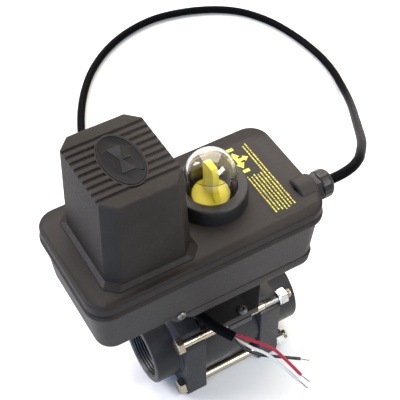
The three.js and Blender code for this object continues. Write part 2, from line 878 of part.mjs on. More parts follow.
function makeTerminals() {
  const bottom = boardTop + touchGap;
  const body = block([boardLeft + 2, -33, bottom], [boardLeft + 10.5, -15, bottom + 8]);
  const holes = [-29, -24, -19].map((y) => rod("z", bottom + 5, bottom + 9, 1.5, [boardLeft + 6, y], 8));
  return cut(body, ...holes);
}

// ---- Valve ----
const tangHalf = 3.4;

const stemSealBottom = plateBottom - 12;
const plateScrewX = stemX + 3.6;
const plateScrewY = plateHalfY - plateScrewInset;
const plateScrewRadius = 2;

function makeBody() {
  const half = bodyHalf - touchGap;
  const padTop = plateBottom - touchGap;
  const padBottom = padTop - 5.5;
  const neck = stemRadius + 10;
  const ribReach = boltOffset - boltRadius - 1.5;
  const solids = join(
    rod("x", stemX - half, stemX + half, bodyRadius, [0, valveZ], 28),
    rod("z", valveZ, padTop, neck, [stemX, 0], 24),
    block([stemX - 10, -plateHalfY + 1, padBottom], [stemX + 10, plateHalfY - 1, padTop]),
    block([stemX - 2, -ribReach, valveZ], [stemX + 2, ribReach, padBottom + 1]),
    rod("y", 0, rearPortReach, rearPortOuter, [stemX, valveZ]),
    rod("y", rearPortReach - 6, rearPortReach - 0.5, rearPortOuter + 1.6, [stemX, valveZ]),
  );
  const waterways = [
    rod("x", stemX - half - 1, stemX + half + 1, chamberRadius, [0, valveZ]),
    rod("y", 0, rearSeatEnd + touchGap, rearPortBore, [stemX, valveZ], 24),
    rod("y", 0, rearPortReach, ballBore, [stemX, valveZ], 24),
    rod("y", rearSeatEnd + 4, rearPortReach + 1, rearPortBore, [stemX, valveZ], 24),
  ];
  const groove = stemRadius + stemSealWidth + 2 * touchGap;
  const stemHoles = [
    rod("z", valveZ, plateTop, stemRadius + runningGap, [stemX, 0], 20),
    rod("z", stemSealBottom - 0.3, stemSealBottom + 3.3, groove, [stemX, 0], 20),
  ];
  const screwHoles = [-1, 1].map((side) => {
    const place = [plateScrewX, side * plateScrewY];
    return rod("z", padBottom - 2, plateTop, plateScrewRadius + touchGap, place, 8);
  });
  const capGrooves = [-1, 1].map((side) => {
    const ends = [side * half, side * (half - 2.6)].sort((a, b) => a - b);
    return seatRing("x", bodyRadius - 4.6, bodyRadius - 1.4, ...ends, [stemX, 0, valveZ], 24);
  });
  return cut(solids, ...waterways, ...stemHoles, ...screwHoles, ...capGrooves);
}

// An end cap: a flange with cut top corners, a screwed port and four bolt holes.
function makeEndCap(side) {
  const outline = new THREE.Shape();
  outline.moveTo(-flangeHalf, 0);
  outline.lineTo(flangeHalf, 0);
  outline.lineTo(flangeHalf, 2 * flangeHalf - flangeCorner);
  outline.lineTo(flangeHalf - flangeCorner, 2 * flangeHalf);
  outline.lineTo(-flangeHalf + flangeCorner, 2 * flangeHalf);
  outline.lineTo(-flangeHalf, 2 * flangeHalf - flangeCorner);
  const plate = new THREE.ExtrudeGeometry(outline, { depth: flangeThickness, bevelEnabled: false });
  plate.rotateX(Math.PI / 2);
  plate.rotateZ(Math.PI / 2);
  plate.translate(stemX + (side > 0 ? bodyHalf : -flangeOuter), 0, 0);
  const along = (near, far) => [stemX + side * near, stemX + side * far].sort((a, b) => a - b);
  const port = rod("x", ...along(flangeOuter - 1, portReach), portOuter, [0, valveZ], 28);
  const bore = rod("x", ...along(portReach - threadDepth, portReach + 1), portBore, [0, valveZ]);
  const waterway = rod("x", ...along(bodyHalf - 1, portReach), waterwayRadius, [0, valveZ]);
  const boltHoles = [-1, 1].flatMap((y) =>
    [-1, 1].map((z) => {
      const place = [y * boltOffset, valveZ + z * boltOffset];
      return rod("x", ...along(bodyHalf - 1, flangeOuter + 1), boltRadius + touchGap, place, 12);
    }),
  );
  return cut(join(solid(plate), port), bore, waterway, ...boltHoles);
}

function makeSeat(side) {
  const ends = [side * seatFace, side * (bodyHalf - touchGap)].sort((a, b) => a - b);
  return seatRing("x", waterwayRadius, chamberRadius - touchGap, ...ends, [stemX, 0, valveZ]);
}

function makeRearSeat() {
  const outer = rearPortBore - touchGap;
  const ring = seatRing("y", ballBore, outer, seatFace, rearSeatEnd, [stemX, 0, valveZ], 28);
  return cut(ring, ballBlank(seatGap));
}

function ballBlank(extra = 0) {
  const sphere = new THREE.SphereGeometry(ballRadius + extra, 24, 14);
  sphere.translate(stemX, 0, valveZ);
  return solid(sphere);
}

// The ball's waterway turns a corner, from the +X side to the +Y side.
function makeBall() {
  const reach = ballRadius + 5;
  const elbow = new THREE.SphereGeometry(ballBore, 20, 10);
  elbow.translate(stemX, 0, valveZ);
  const waterway = join(
    rod("x", stemX, stemX + reach, ballBore, [0, valveZ], 20),
    rod("y", 0, reach, ballBore, [stemX, valveZ], 20),
    solid(elbow),
  );
  const slotHalf = tangHalf + runningGap;
  const top = valveZ + ballRadius;
  const slot = block([stemX - slotHalf, -ballRadius, top - 6], [stemX + slotHalf, ballRadius, top + 3]);
  return cut(ballBlank(), waterway, slot);
}

function makeStem() {
  const ballTop = valveZ + ballRadius;
  const shaft = rod("z", ballTop + 0.5, stemTop, stemRadius, [stemX, 0], 20);
  const tang = block([stemX - tangHalf, -7, ballTop - 5.5], [stemX + tangHalf, 7, ballTop + 1]);
  return join(shaft, tang);
}

function makeTieBolt(y, z) {
  const headEnd = stemX - flangeOuter - touchGap;
  const head = rod("x", headEnd - 5.2, headEnd, boltHeadAcross / Math.sqrt(3), [y, z], 6);
  const shank = rod("x", headEnd - 0.5, stemX + flangeOuter + 13, boltRadius, [y, z], 12);
  return join(head, shank);
}

function makeTieNut(y, z) {
  const face = stemX + flangeOuter + touchGap;
  const nut = rod("x", face + 1.2, face + 8, boltHeadAcross / Math.sqrt(3), [y, z], 6);
  const washer = rod("x", face, face + 1.4, boltHeadAcross / 2, [y, z], 16);
  return cut(join(nut, washer), rod("x", face - 1, face + 9, boltRadius + touchGap, [y, z], 12));
}

// ---- Mounting ----
function makePlate() {
  const ring = (z, inset) =>
    octagonRing(plateHalfX - inset, plateHalfY - inset, plateCornerX, plateCornerY, z, stemX);
  const plate = loft([
    ring(plateBottom, 0.6),
    ring(plateBottom + 0.6, 0),
    ring(plateTop - 0.6, 0),
    ring(plateTop, 0.6),
  ]);
  const stemHole = rod("z", plateBottom - 1, plateTop + 1, stemRadius + runningGap, [stemX, 0], 20);
  const screwHoles = [-1, 1].map((side) => {
    const place = [plateScrewX, side * plateScrewY];
    return rod("z", plateBottom - 1, plateTop + 1, plateScrewRadius + touchGap, place, 8);
  });
  return cut(plate, stemHole, ...screwHoles);
}

function makePlateScrew(side) {
  const place = [plateScrewX, side * plateScrewY];
  const head = rod("z", plateTop + touchGap, plateTop + 3, 4.2, place, 16, 3.2);
  const shank = rod("z", plateBottom - 5, plateTop + touchGap + 0.2, plateScrewRadius, place, 8);
  const recess = rod("z", plateTop + 1.6, plateTop + 4, 1.6, place, 6);
  return cut(join(head, shank), recess);
}

function makeNeck() {
  const body = rod("z", plateTop + touchGap, deepBottom - touchGap, neckRadius, [stemX, 0]);
  const bore = rod("z", plateTop, deepBottom + 1, neckBore, [stemX, 0], 24);
  return cut(body, bore);
}

function makeCaseScrew([x, y]) {
  const bottom = floorUnder(x);
  const head = rod("z", bottom + 0.4, bottom + 3.4, 4.4, [x, y], 16);
  const shank = rod("z", bottom + 3.2, bottom + 27, caseScrewRadius, [x, y], 8);
  const recess = rod("z", bottom - 1, bottom + 2, 1.7, [x, y], 6);
  return cut(join(head, shank), recess);
}

// ---- Assembly ----
const caseGroup = new THREE.Group();
part.add(caseGroup);
addPiece("base_tray", makeTray(), blackCase, caseGroup);
addPiece("seal_screw", makeSealScrew(), stainless, caseGroup);
addPiece("lid_gasket", makeGasket(), sealRubber, caseGroup);
addPiece("lid", makeLid(), blackCase, caseGroup);
addPiece("motor_cover", makeCover(), blackCase, caseGroup);
addPiece("cover_badge", makeBadge(), blackSmooth, caseGroup);
addPiece("rating_label", makeLabel(), blackSmooth, caseGroup);
columnPlaces.forEach((place, i) => {
  addPiece(`case_screw_${i + 1}`, makeCaseScrew(place), stainless, caseGroup);
});

const indicatorGroup = new THREE.Group();
part.add(indicatorGroup);
addPiece("dome_collar", makeCollar(), blackSmooth, indicatorGroup);
addPiece("dome_seal", makeDomeSeal(), sealRubber, indicatorGroup);
addPiece("indicator_dome", makeDome(), clearPlastic, indicatorGroup);
addPiece("indicator_disc", makeIndicator(), yellowPlastic, indicatorGroup);

const driveGroup = new THREE.Group();
part.add(driveGroup);
addPiece("gear_plate", makeGearPlate(), stainless, driveGroup);
addPiece("drive_motor", makeMotor(), stainless, driveGroup);
addPiece("motor_pinion", makeMotorPinion(), brassMetal, driveGroup);
addPiece("idler_gear", makeIdler(), brassMetal, driveGroup);
addPiece("output_gear", makeOutputGear(), stainless, driveGroup);
addPiece("output_shaft", makeOutputShaft(), stainless, driveGroup);
addPiece("switch_cam", makeCam(), seatPlastic, driveGroup);
addPiece("limit_switch_1", makeSwitch(-1), blackSmooth, driveGroup);
addPiece("limit_switch_2", makeSwitch(1), blackSmooth, driveGroup);
addPiece("control_board", makeBoard(), boardGreen, driveGroup);
addPiece("terminal_block", makeTerminals(), boardGreen, driveGroup);

const mountGroup = new THREE.Group();
part.add(mountGroup);
addPiece("mounting_neck", makeNeck(), blackSmooth, mountGroup);
addPiece("mounting_plate", makePlate(), valvePlastic, mountGroup);
addPiece("plate_screw_front", makePlateScrew(-1), stainless, mountGroup);
addPiece("plate_screw_rear", makePlateScrew(1), stainless, mountGroup);

const valveGroup = new THREE.Group();
part.add(valveGroup);
addPiece("valve_body", makeBody(), valvePlastic, valveGroup);
addPiece("valve_stem", makeStem(), stainless, valveGroup);
const stemSeal = seatRing(
  "z",
  stemRadius + touchGap,
  stemRadius + touchGap + stemSealWidth,
  stemSealBottom,
  stemSealBottom + 3,
  [stemX, 0, 0],
  20,
);
addPiece("stem_seal", stemSeal, sealRubber, valveGroup);
addPiece("valve_ball", makeBall(), ballPlastic, valveGroup);
addPiece("rear_seat", makeRearSeat(), seatPlastic, valveGroup);
[-1, 1].forEach((side) => {
  const word = side < 0 ? "left" : "right";
  addPiece(`end_cap_${word}`, makeEndCap(side), valvePlastic, valveGroup);
  addPiece(`seat_${word}`, makeSeat(side), seatPlastic, valveGroup);
  const from = bodyHalf - touchGap - 2.2;
  const ends = [side * from, side * (from + 2.1)].sort((a, b) => a - b);
  const ring = seatRing("x", bodyRadius - 4.3, bodyRadius - 1.7, ...ends, [stemX, 0, valveZ], 24);
  addPiece(`cap_seal_${word}`, ring, sealRubber, valveGroup);
});
const boltPlaces = [
  [-1, 1],
  [-1, -1],
  [1, 1],
  [1, -1],
];
boltPlaces.forEach(([signY, signZ], i) => {
  const y = signY * boltOffset;
  const z = valveZ + signZ * boltOffset;
  addPiece(`tie_bolt_${i + 1}`, makeTieBolt(y, z), rodSteel, valveGroup);
  addPiece(`tie_nut_${i + 1}`, makeTieNut(y, z), stainless, valveGroup);
});

const cableGroup = new THREE.Group();
part.add(cableGroup);
addPiece("gland_body", makeGlandBody(), blackSmooth, cableGroup);
addPiece("gland_nut", makeGlandNut(), blackSmooth, cableGroup);
addPiece("gland_seal", makeGlandSeal(), sealRubber, cableGroup);
addPiece("power_cable", tube(cableRoute, cableRadius, 8, 64), sheathBlack, cableGroup);
addPiece("wire_red", makeWire(redRoute, redTip), wireRed, cableGroup);
addPiece("wire_white", makeWire(whiteRoute, whiteTip), wireWhite, cableGroup);
addPiece("wire_black", makeWire(blackRoute, blackTip), wireBlack, cableGroup);

export default part;
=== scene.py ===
import math
import random

import bmesh
import bpy
from mathutils import Matrix, Vector


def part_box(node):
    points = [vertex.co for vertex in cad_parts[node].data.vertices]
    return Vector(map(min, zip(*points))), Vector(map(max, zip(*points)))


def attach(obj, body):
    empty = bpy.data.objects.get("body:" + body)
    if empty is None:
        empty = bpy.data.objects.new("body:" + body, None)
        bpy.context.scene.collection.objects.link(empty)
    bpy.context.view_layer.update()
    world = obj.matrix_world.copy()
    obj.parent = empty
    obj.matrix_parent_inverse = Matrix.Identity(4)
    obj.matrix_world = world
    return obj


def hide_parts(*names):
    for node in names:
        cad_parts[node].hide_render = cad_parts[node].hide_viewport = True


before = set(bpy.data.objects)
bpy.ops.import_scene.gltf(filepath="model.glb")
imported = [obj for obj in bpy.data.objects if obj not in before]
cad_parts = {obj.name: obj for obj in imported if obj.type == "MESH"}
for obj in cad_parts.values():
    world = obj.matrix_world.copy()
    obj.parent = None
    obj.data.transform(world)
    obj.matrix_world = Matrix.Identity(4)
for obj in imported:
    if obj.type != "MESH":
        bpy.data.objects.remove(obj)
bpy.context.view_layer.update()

mm = 0.001
print("frame loaded:", len(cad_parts), "nodes")


# Places that many pieces share, read from the frame, in millimetres

def box(node):
    low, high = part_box(node)
    return Vector(low) / mm, Vector(high) / mm


def middle(node):
    low, high = box(node)
    return (low + high) / 2


rimHeight = 4.4
shallowDepth = 45
gasketGap = 0.6
touchGap = 0.3

stemX = middle("indicator_dome").x
motorX = middle("cover_badge").x
valveZ = middle("end_cap_left").z
rimTop = box("base_tray")[1].z
rimBottom = rimTop - rimHeight
halfLength = box("base_tray")[1].x
halfWidth = box("base_tray")[1].y
deepBottom = box("base_tray")[0].z
shallowBottom = rimBottom - shallowDepth
lidBottom = rimTop + gasketGap
fittingBase = box("dome_collar")[0].z
lidTop = fittingBase - touchGap
coverTop = box("motor_cover")[1].z
glandY = middle("gland_nut").y
glandZ = middle("gland_nut").z
origin = (0, 0, 0)
stemAxis = (stemX, 0, 0)
portAxis = (0, 0, valveZ)
glandAxis = (0, glandY, glandZ)


def newItem(name, data):
    item = bpy.data.objects.new(name, data)
    bpy.context.scene.collection.objects.link(item)
    return item


# Camera, floor and lights

view = {
    "location": (-0.2314, -0.4338, 0.7646),
    "azimuth": -30.0,
    "tilt": 41.18,
    "roll": -0.49,
    "lens": 92.87,
    "shift": (-0.0110, -0.0028),
}


def makeCamera():
    data = bpy.data.cameras.new("camera")
    data.lens = view["lens"]
    data.sensor_width = 36
    data.shift_x, data.shift_y = view["shift"]
    data.clip_start = 0.01
    data.clip_end = 20
    camera = newItem("camera", data)
    turn = Matrix.Rotation(math.radians(view["azimuth"]), 4, "Z")
    turn = turn @ Matrix.Rotation(math.radians(view["tilt"]), 4, "X")
    turn = turn @ Matrix.Rotation(math.radians(view["roll"]), 4, "Z")
    camera.matrix_world = Matrix.Translation(view["location"]) @ turn
    bpy.context.scene.camera = camera


studio = {
    "floorColor": (0.56, 0.56, 0.555),
    "worldColor": (1.0, 1.0, 1.0),
    "worldStrength": 0.7,
    "floorRadius": 6.0,
    "floorZ": -0.0005,
    "floorRoughness": 0.9,
}

# name: size, power, place, aim, colour
lamps = {
    "skyPanel": ((3.4, 3.4), 178.0, (0.84, 1.48, 2.15), (0.0, 0.0, 0.15), (1.0, 0.93, 0.85)),
    "leftPanel": ((1.2, 1.2), 70.0, (-2.4, -1.25, 0.5), (-0.05, 0.0, 0.18), (0.26, 0.55, 1.0)),
    "backLeft": ((1.7, 1.7), 190.0, (-2.4, 2.0, 1.85), (-0.05, 0.0, 0.18), (0.90, 0.88, 1.0)),
    "softBox": ((0.55, 0.26), 7.0, (0.363, -0.544, 0.68), (0.0246, 0.0, 0.2175), (1.0, 1.0, 1.0)),
}


def makeStudio():
    bm = bmesh.new()
    bmesh.ops.create_circle(bm, cap_ends=True, segments=64, radius=studio["floorRadius"])
    mesh = bpy.data.meshes.new("floor")
    bm.to_mesh(mesh)
    bm.free()
    floor = newItem("floor", mesh)
    floor.location.z = studio["floorZ"]
    material = bpy.data.materials.new("floor")
    material.use_nodes = True
    shader = material.node_tree.nodes["Principled BSDF"]
    shader.inputs["Base Color"].default_value = (*studio["floorColor"], 1)
    shader.inputs["Roughness"].default_value = studio["floorRoughness"]
    mesh.materials.append(material)
    world = bpy.data.worlds.new("studio")
    bpy.context.scene.world = world
    bpy.context.scene.view_settings.view_transform = "Standard"
    world.use_nodes = True
    background = world.node_tree.nodes["Background"]
    background.inputs["Color"].default_value = (*studio["worldColor"], 1)
    background.inputs["Strength"].default_value = studio["worldStrength"]
    for name, (size, power, place, aim, color) in lamps.items():
        data = bpy.data.lights.new(name, "AREA")
        data.shape = "RECTANGLE"
        data.size, data.size_y = size
        data.energy = power
        data.color = color
        lamp = newItem(name, data)
        lamp.location = place
        lamp.rotation_euler = (Vector(aim) - Vector(place)).to_track_quat("-Z", "Y").to_euler()


makeCamera()
makeStudio()
print("camera and studio ready")


# Materials

class Nodes:
    def __init__(self, name):
        self.material = bpy.data.materials.new(name)
        self.material.use_nodes = True
        self.tree = self.material.node_tree
        self.shader = self.tree.nodes["Principled BSDF"]
        self.place = self.add("ShaderNodeTexCoord").outputs["Object"]

    def add(self, kind, **inputs):
        node = self.tree.nodes.new(kind)
        for key, value in inputs.items():
            self.put(node, key.replace("_", " "), value)
        return node

    def put(self, node, key, value):
        socket = node.inputs[key]
        if isinstance(value, bpy.types.NodeSocket):
            self.tree.links.new(value, socket)
        else:
            socket.default_value = value

    def noise(self, scale, detail=4.0, rough=0.55, place=None):
        node = self.add("ShaderNodeTexNoise", Scale=scale, Detail=detail, Roughness=rough)
        self.put(node, "Vector", place or self.place)
        return node.outputs["Fac"]

    def stretched(self, scale):
        node = self.add("ShaderNodeMapping", Vector=self.place, Scale=scale)
        return node.outputs["Vector"]

    def ramp(self, value, low, high, dark, light):
        node = self.add("ShaderNodeMapRange", Value=value)
        self.put(node, "From Min", low)
        self.put(node, "From Max", high)
        self.put(node, "To Min", dark)
        self.put(node, "To Max", light)
        return node.outputs["Result"]

    def blend(self, factor, first, second):
        node = self.tree.nodes.new("ShaderNodeMix")
        node.data_type = "RGBA"
        self.put(node, "Factor", factor)
        colors = [socket for socket in node.inputs if socket.type == "RGBA"]
        for socket, value in zip(colors, (first, second)):
            if isinstance(value, bpy.types.NodeSocket):
                self.tree.links.new(value, socket)
            else:
                socket.default_value = (*value, 1)
        return [socket for socket in node.outputs if socket.type == "RGBA"][0]

    # Two shades that drift into each other
    def mottle(self, noise, first, second):
        return self.blend(self.ramp(noise, 0.35, 0.7, 0.0, 1.0), first, second)

    # A noise spread over a range of roughness
    def gloss(self, noise, low, high):
        return self.ramp(noise, 0.3, 0.7, low, high)

    def bump(self, height, strength, distance):
        node = self.add("ShaderNodeBump", Height=height, Strength=strength, Distance=distance)
        self.put(self.shader, "Normal", node.outputs["Normal"])

    def surface(self, **values):
        for key, value in values.items():
            name = {"color": "Base Color", "rough": "Roughness", "metal": "Metallic"}.get(key, key)
            if key == "color" and not isinstance(value, bpy.types.NodeSocket):
                value = (*value, 1)
            self.put(self.shader, name, value)


# Moulded plastic: spark-eroded grain, slow colour drift, convex edges paled partly as wear and partly as a painted
# edge highlight, and a little dust
def mouldedPlastic(name, color, grain=900.0, depth=0.00012, rough=(0.42, 0.6),
                   edge=0.5, dust=0.15, shine=0.28):
    nodes = Nodes(name)
    drift = nodes.noise(14.0, 3.0)
    fine = nodes.noise(grain, 2.0, 0.6)
    speck = nodes.noise(grain * 0.35, 5.0, 0.7)
    light = tuple(min(1.0, channel * 1.3 + 0.004) for channel in color)
    body = nodes.mottle(drift, color, light)
    # Convex edges are blended towards a paler tone: partly edge wear, partly a painted highlight where the edges
    # catch light
    edgeConvexity = nodes.add("ShaderNodeNewGeometry").outputs["Pointiness"]
    wornAndHighlitEdges = nodes.ramp(edgeConvexity, 0.515, 0.60, 0.0, edge)
    pale = tuple(channel * 1.6 + 0.02 for channel in color)
    body = nodes.blend(wornAndHighlitEdges, body, pale)
    dusty = nodes.ramp(speck, 0.56, 0.78, 0.0, dust)
    body = nodes.blend(dusty, body, (0.06, 0.056, 0.05))
    nodes.surface(color=body, rough=nodes.gloss(fine, *rough))
    nodes.shader.inputs["Specular IOR Level"].default_value = shine
    nodes.bump(fine, 0.35, depth)
    return nodes.material


def clearPlastic(name):
    nodes = Nodes(name)
    haze = nodes.noise(60.0, 4.0)
    nodes.surface(color=(0.95, 0.91, 0.83), rough=nodes.ramp(haze, 0.4, 0.8, 0.01, 0.05))
    nodes.shader.inputs["Transmission Weight"].default_value = 1.0
    nodes.shader.inputs["IOR"].default_value = 1.13
    nodes.shader.inputs["Coat Weight"].default_value = 0.9
    nodes.shader.inputs["Coat Roughness"].default_value = 0.03
    nodes.bump(nodes.noise(18.0, 1.0), 0.01, 0.0001)
    return nodes.material


def brightYellow(name, shade=(0.52, 0.47, 0.008), light=(0.58, 0.53, 0.016)):
    nodes = Nodes(name)
    drift = nodes.noise(45.0, 3.0)
    body = nodes.mottle(drift, shade, light)
    nodes.surface(color=body, rough=nodes.gloss(nodes.noise(300.0), 0.35, 0.5))
    nodes.bump(nodes.noise(700.0, 2.0), 0.15, 0.0001)
    return nodes.material


# Steel with fine turning or drawing marks that run along one axis
def steel(name, color=(0.72, 0.72, 0.71), along=(1.0, 1.0, 1.0), rough=(0.16, 0.34), scale=900.0):
    nodes = Nodes(name)
    streak = nodes.noise(scale, 3.0, 0.6, nodes.stretched(along))
    cloud = nodes.noise(40.0, 4.0)
    shade = tuple(channel * 0.78 for channel in color)
    body = nodes.mottle(cloud, shade, color)
    nodes.surface(color=body, rough=nodes.gloss(streak, *rough), metal=1.0)
    nodes.bump(streak, 0.12, 0.00005)
    return nodes.material


def sealRubber(name):
    nodes = Nodes(name)
    bloom = nodes.noise(120.0, 5.0)
    pale = nodes.ramp(bloom, 0.45, 0.8, 0.0, 1.0)
    body = nodes.blend(pale, (0.012, 0.012, 0.013), (0.04, 0.04, 0.042))
    nodes.surface(color=body, rough=nodes.gloss(bloom, 0.6, 0.8))
    nodes.bump(nodes.noise(1500.0, 2.0), 0.2, 0.00005)
    return nodes.material


# A flexible sheath: drawn lengthwise, a little glossy, with faint scuffs
def flexibleSheath(name, color, rough=(0.2, 0.38), scuff=0.3, shine=0.35):
    nodes = Nodes(name)
    mark = nodes.noise(70.0, 6.0, 0.65)
    light = tuple(channel * 1.4 + 0.003 for channel in color)
    body = nodes.blend(nodes.ramp(mark, 0.5, 0.8, 0.0, scuff), color, light)
    nodes.surface(color=body, rough=nodes.gloss(nodes.noise(240.0, 4.0), *rough))
    nodes.shader.inputs["Specular IOR Level"].default_value = shine
    nodes.bump(nodes.noise(500.0, 3.0), 0.12, 0.00006)
    return nodes.material


def whitePlastic(name, color=(0.78, 0.76, 0.71)):
    nodes = Nodes(name)
    drift = nodes.noise(60.0, 4.0)
    shade = tuple(channel * 0.86 for channel in color)
    nodes.surface(color=nodes.mottle(drift, shade, color))
    nodes.surface(rough=nodes.gloss(nodes.noise(300.0), 0.35, 0.55))
    nodes.bump(nodes.noise(800.0, 2.0), 0.15, 0.00008)
    return nodes.material


def circuitBoard(name):
    nodes = Nodes(name)
    cells = nodes.add("ShaderNodeTexVoronoi", Scale=260.0, Vector=nodes.place)
    track = nodes.ramp(cells.outputs["Distance"], 0.05, 0.12, 1.0, 0.0)
    body = nodes.blend(track, (0.02, 0.13, 0.05), (0.05, 0.25, 0.1))
    nodes.surface(color=body, rough=nodes.gloss(nodes.noise(200.0), 0.3, 0.5))
    nodes.bump(track, 0.2, 0.0001)
    return nodes.material


looks = {
    "case": mouldedPlastic("case plastic", (0.0078, 0.0056, 0.0044), rough=(0.46, 0.62), shine=0.12),
    "cover": mouldedPlastic("cover plastic", (0.0082, 0.0060, 0.0048), 700.0, 0.00016, (0.44, 0.6), shine=0.12),
    "trim": mouldedPlastic("trim plastic", (0.0042, 0.0041, 0.0042), 1200.0, 0.00008, (0.28, 0.42),
                           edge=0.4, dust=0.05, shine=0.24),
    # The badge's raised edges take the full paling: mostly a painted highlight on the relief, partly wear
    "badge": mouldedPlastic("badge plastic", (0.0020, 0.0020, 0.0026), 1400.0, 0.00006, (0.36, 0.5),
                            edge=1.0, dust=0.3, shine=0.06),
    "valve": mouldedPlastic("valve polypropylene", (0.0080, 0.0074, 0.0076), 420.0, 0.00022, (0.34, 0.5),
                            edge=0.6, dust=0.12, shine=0.22),
    "label": mouldedPlastic("label film", (0.0078, 0.0056, 0.0044), rough=(0.46, 0.62), shine=0.12),
    "dome": clearPlastic("clear dome"),
    "yellow": brightYellow("yellow plastic"),
    "print": brightYellow("yellow print", (0.34, 0.31, 0.006), (0.46, 0.43, 0.015)),
    "bolt": steel("bolt steel", (0.80, 0.80, 0.79), (0.15, 1.0, 1.0)),
    "rod": steel("rod steel", (0.47, 0.42, 0.32), (0.05, 1.0, 1.0), (0.22, 0.36)),
    "plateSteel": steel("pressed steel", (0.62, 0.63, 0.64), (0.08, 1.0, 1.0), (0.3, 0.45)),
    "shaft": steel("turned steel", (0.70, 0.70, 0.70), (1.0, 1.0, 0.08), (0.18, 0.3)),
    "brass": steel("brass", (0.66, 0.50, 0.22), (1.0, 1.0, 0.1), (0.2, 0.35)),
    "dullSteel": steel("dull steel", (0.16, 0.155, 0.15), (1.0, 1.0, 1.0), (0.35, 0.5)),
    "copper": steel("tinned copper", (0.36, 0.33, 0.31), (1.0, 1.0, 1.0), (0.2, 0.35)),
    "rubber": sealRubber("seal rubber"),
    "seat": whitePlastic("seat plastic"),
    "ball": mouldedPlastic("ball plastic", (0.055, 0.053, 0.052), 1500.0, 0.00003, (0.15, 0.25),
                           edge=0.2, dust=0.05),
    "board": circuitBoard("circuit board"),
    "sheath": flexibleSheath("cable sheath", (0.0018, 0.0018, 0.0022), (0.36, 0.5), 0.1, 0.015),
    "red": flexibleSheath("red insulation", (0.26, 0.007, 0.022), (0.3, 0.45), 0.2, 0.2),
    "white": flexibleSheath("white insulation", (0.42, 0.41, 0.38), (0.25, 0.4), 0.1),
    "black": flexibleSheath("black insulation", (0.006, 0.006, 0.007), (0.24, 0.36), 0.2, 0.2),
}
print("materials:", len(looks))


# Making meshes. Every maker works in millimetres.

sharpAngle = 34.0


def newObject(name, bm, smooth=sharpAngle):
    bmesh.ops.remove_doubles(bm, verts=bm.verts, dist=1e-4)
    bmesh.ops.recalc_face_normals(bm, faces=bm.faces)
    bmesh.ops.scale(bm, vec=(mm, mm, mm), verts=bm.verts)
    mesh = bpy.data.meshes.new(name)
    bm.to_mesh(mesh)
    bm.free()
    piece = newItem(name, mesh)
    shade(piece, smooth)
    return piece


def shade(piece, angle=sharpAngle):
    piece.data.shade_smooth()
    piece.data.set_sharp_from_angle(angle=math.radians(angle))


def loft(bm, rings):
    rows = [[bm.verts.new(point) for point in ring] for ring in rings]
    count = len(rows[0])
    for lower, upper in zip(rows, rows[1:]):
        for i in range(count):
            j = (i + 1) % count
            bm.faces.new((lower[i], lower[j], upper[j], upper[i]))
    bm.faces.new(list(reversed(rows[0])))
    bm.faces.new(rows[-1])


def loftPiece(name, *solids):
    bm = bmesh.new()
    for rings in solids:
        loft(bm, rings)
    return newObject(name, bm)


def onAxis(axis, along, a, b):
    return {"x": (along, a, b), "y": (a, along, b), "z": (a, b, along)}[axis]


# A shape turned about an axis from [radius, along] points; a closed profile makes a ring.
def turned(bm, profile, axis, at, sides=64, closed=False, wobble=None):
    rows = []
    for i in range(sides):
        angle = 2 * math.pi * i / sides
        row = []
        for radius, along in profile:
            reach = radius + (wobble(angle, along, radius) if wobble else 0.0)
            a, b = reach * math.cos(angle), reach * math.sin(angle)
            row.append(bm.verts.new(Vector(onAxis(axis, along, a, b)) + Vector(at)))
        rows.append(row)
    steps = len(profile) if closed else len(profile) - 1
    for i in range(sides):
        near, far = rows[i], rows[(i + 1) % sides]
        for k in range(steps):
            m = (k + 1) % len(profile)
            corners = [near[k], far[k], far[m], near[m]]
            if profile[k][0] < 1e-6:
                corners = [near[k], far[m], near[m]]
            elif profile[m][0] < 1e-6:
                corners = [near[k], far[k], near[m]]
            bm.faces.new(corners)


def turnedPiece(name, profile, axis, at, sides=64, closed=False, wobble=None):
    bm = bmesh.new()
    turned(bm, profile, axis, at, sides, closed, wobble)
    return newObject(name, bm)


def rodPiece(name, axis, start, end, radius, across=(0.0, 0.0), sides=48):
    profile = [(0, start), (radius, start), (radius, end), (0, end)]
    return turnedPiece(name, profile, axis, onAxis(axis, 0, *across), sides)


def blockPiece(name, low, high):
    corners = ((low[0], low[1]), (high[0], low[1]), (high[0], high[1]), (low[0], high[1]))
    return loftPiece(name, [[(x, y, z) for x, y in corners] for z in (low[2], high[2])])


# The modified mesh takes the place of the plain one
def settle(piece):
    ready = piece.evaluated_get(bpy.context.evaluated_depsgraph_get())
    mesh = bpy.data.meshes.new_from_object(ready)
    old = piece.data
    piece.modifiers.clear()
    piece.data = mesh
    mesh.name = piece.name
    bpy.data.meshes.remove(old)
    shade(piece)
    return piece


def combine(piece, others, operation):
    for other in others:
        step = piece.modifiers.new(operation, "BOOLEAN")
        step.operation = operation
        step.solver = "EXACT"
        step.object = other
    settle(piece)
    for other in others:
        drop(other)
    return piece


def cut(piece, *others):
    return combine(piece, others, "DIFFERENCE")


def join(piece, *others):
    return combine(piece, others, "UNION")


def drop(other):
    data = other.data
    bpy.data.objects.remove(other)
    if data.users == 0:
        bpy.data.meshes.remove(data)


def softenEdges(piece, width, segments, angle):
    step = piece.modifiers.new("soften", "BEVEL")
    step.width = width * mm
    step.segments = segments
    step.limit_method = "ANGLE"
    step.angle_limit = math.radians(angle)
    step.use_clamp_overlap = True
    step.miter_outer = "MITER_ARC"
    return settle(piece)


def paint(piece, look):
    piece.data.materials.clear()
    piece.data.materials.append(looks[look])
    return piece


def place(piece, look, body, slotName, *nodes):
    paint(piece, look)
    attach(piece, body)
    if nodes:
        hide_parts(*nodes)
    return piece


def roundedRing(halfX, halfY, radius, z, centreX=0.0, steps=9):
    ring = []
    for corner, (signX, signY) in enumerate(((1, 1), (-1, 1), (-1, -1), (1, -1))):
        for step in range(steps + 1):
            angle = (corner + step / steps) * math.pi / 2
            x = centreX + signX * (halfX - radius) + radius * math.cos(angle)
            y = signY * (halfY - radius) + radius * math.sin(angle)
            ring.append((x, y, z))
    return ring


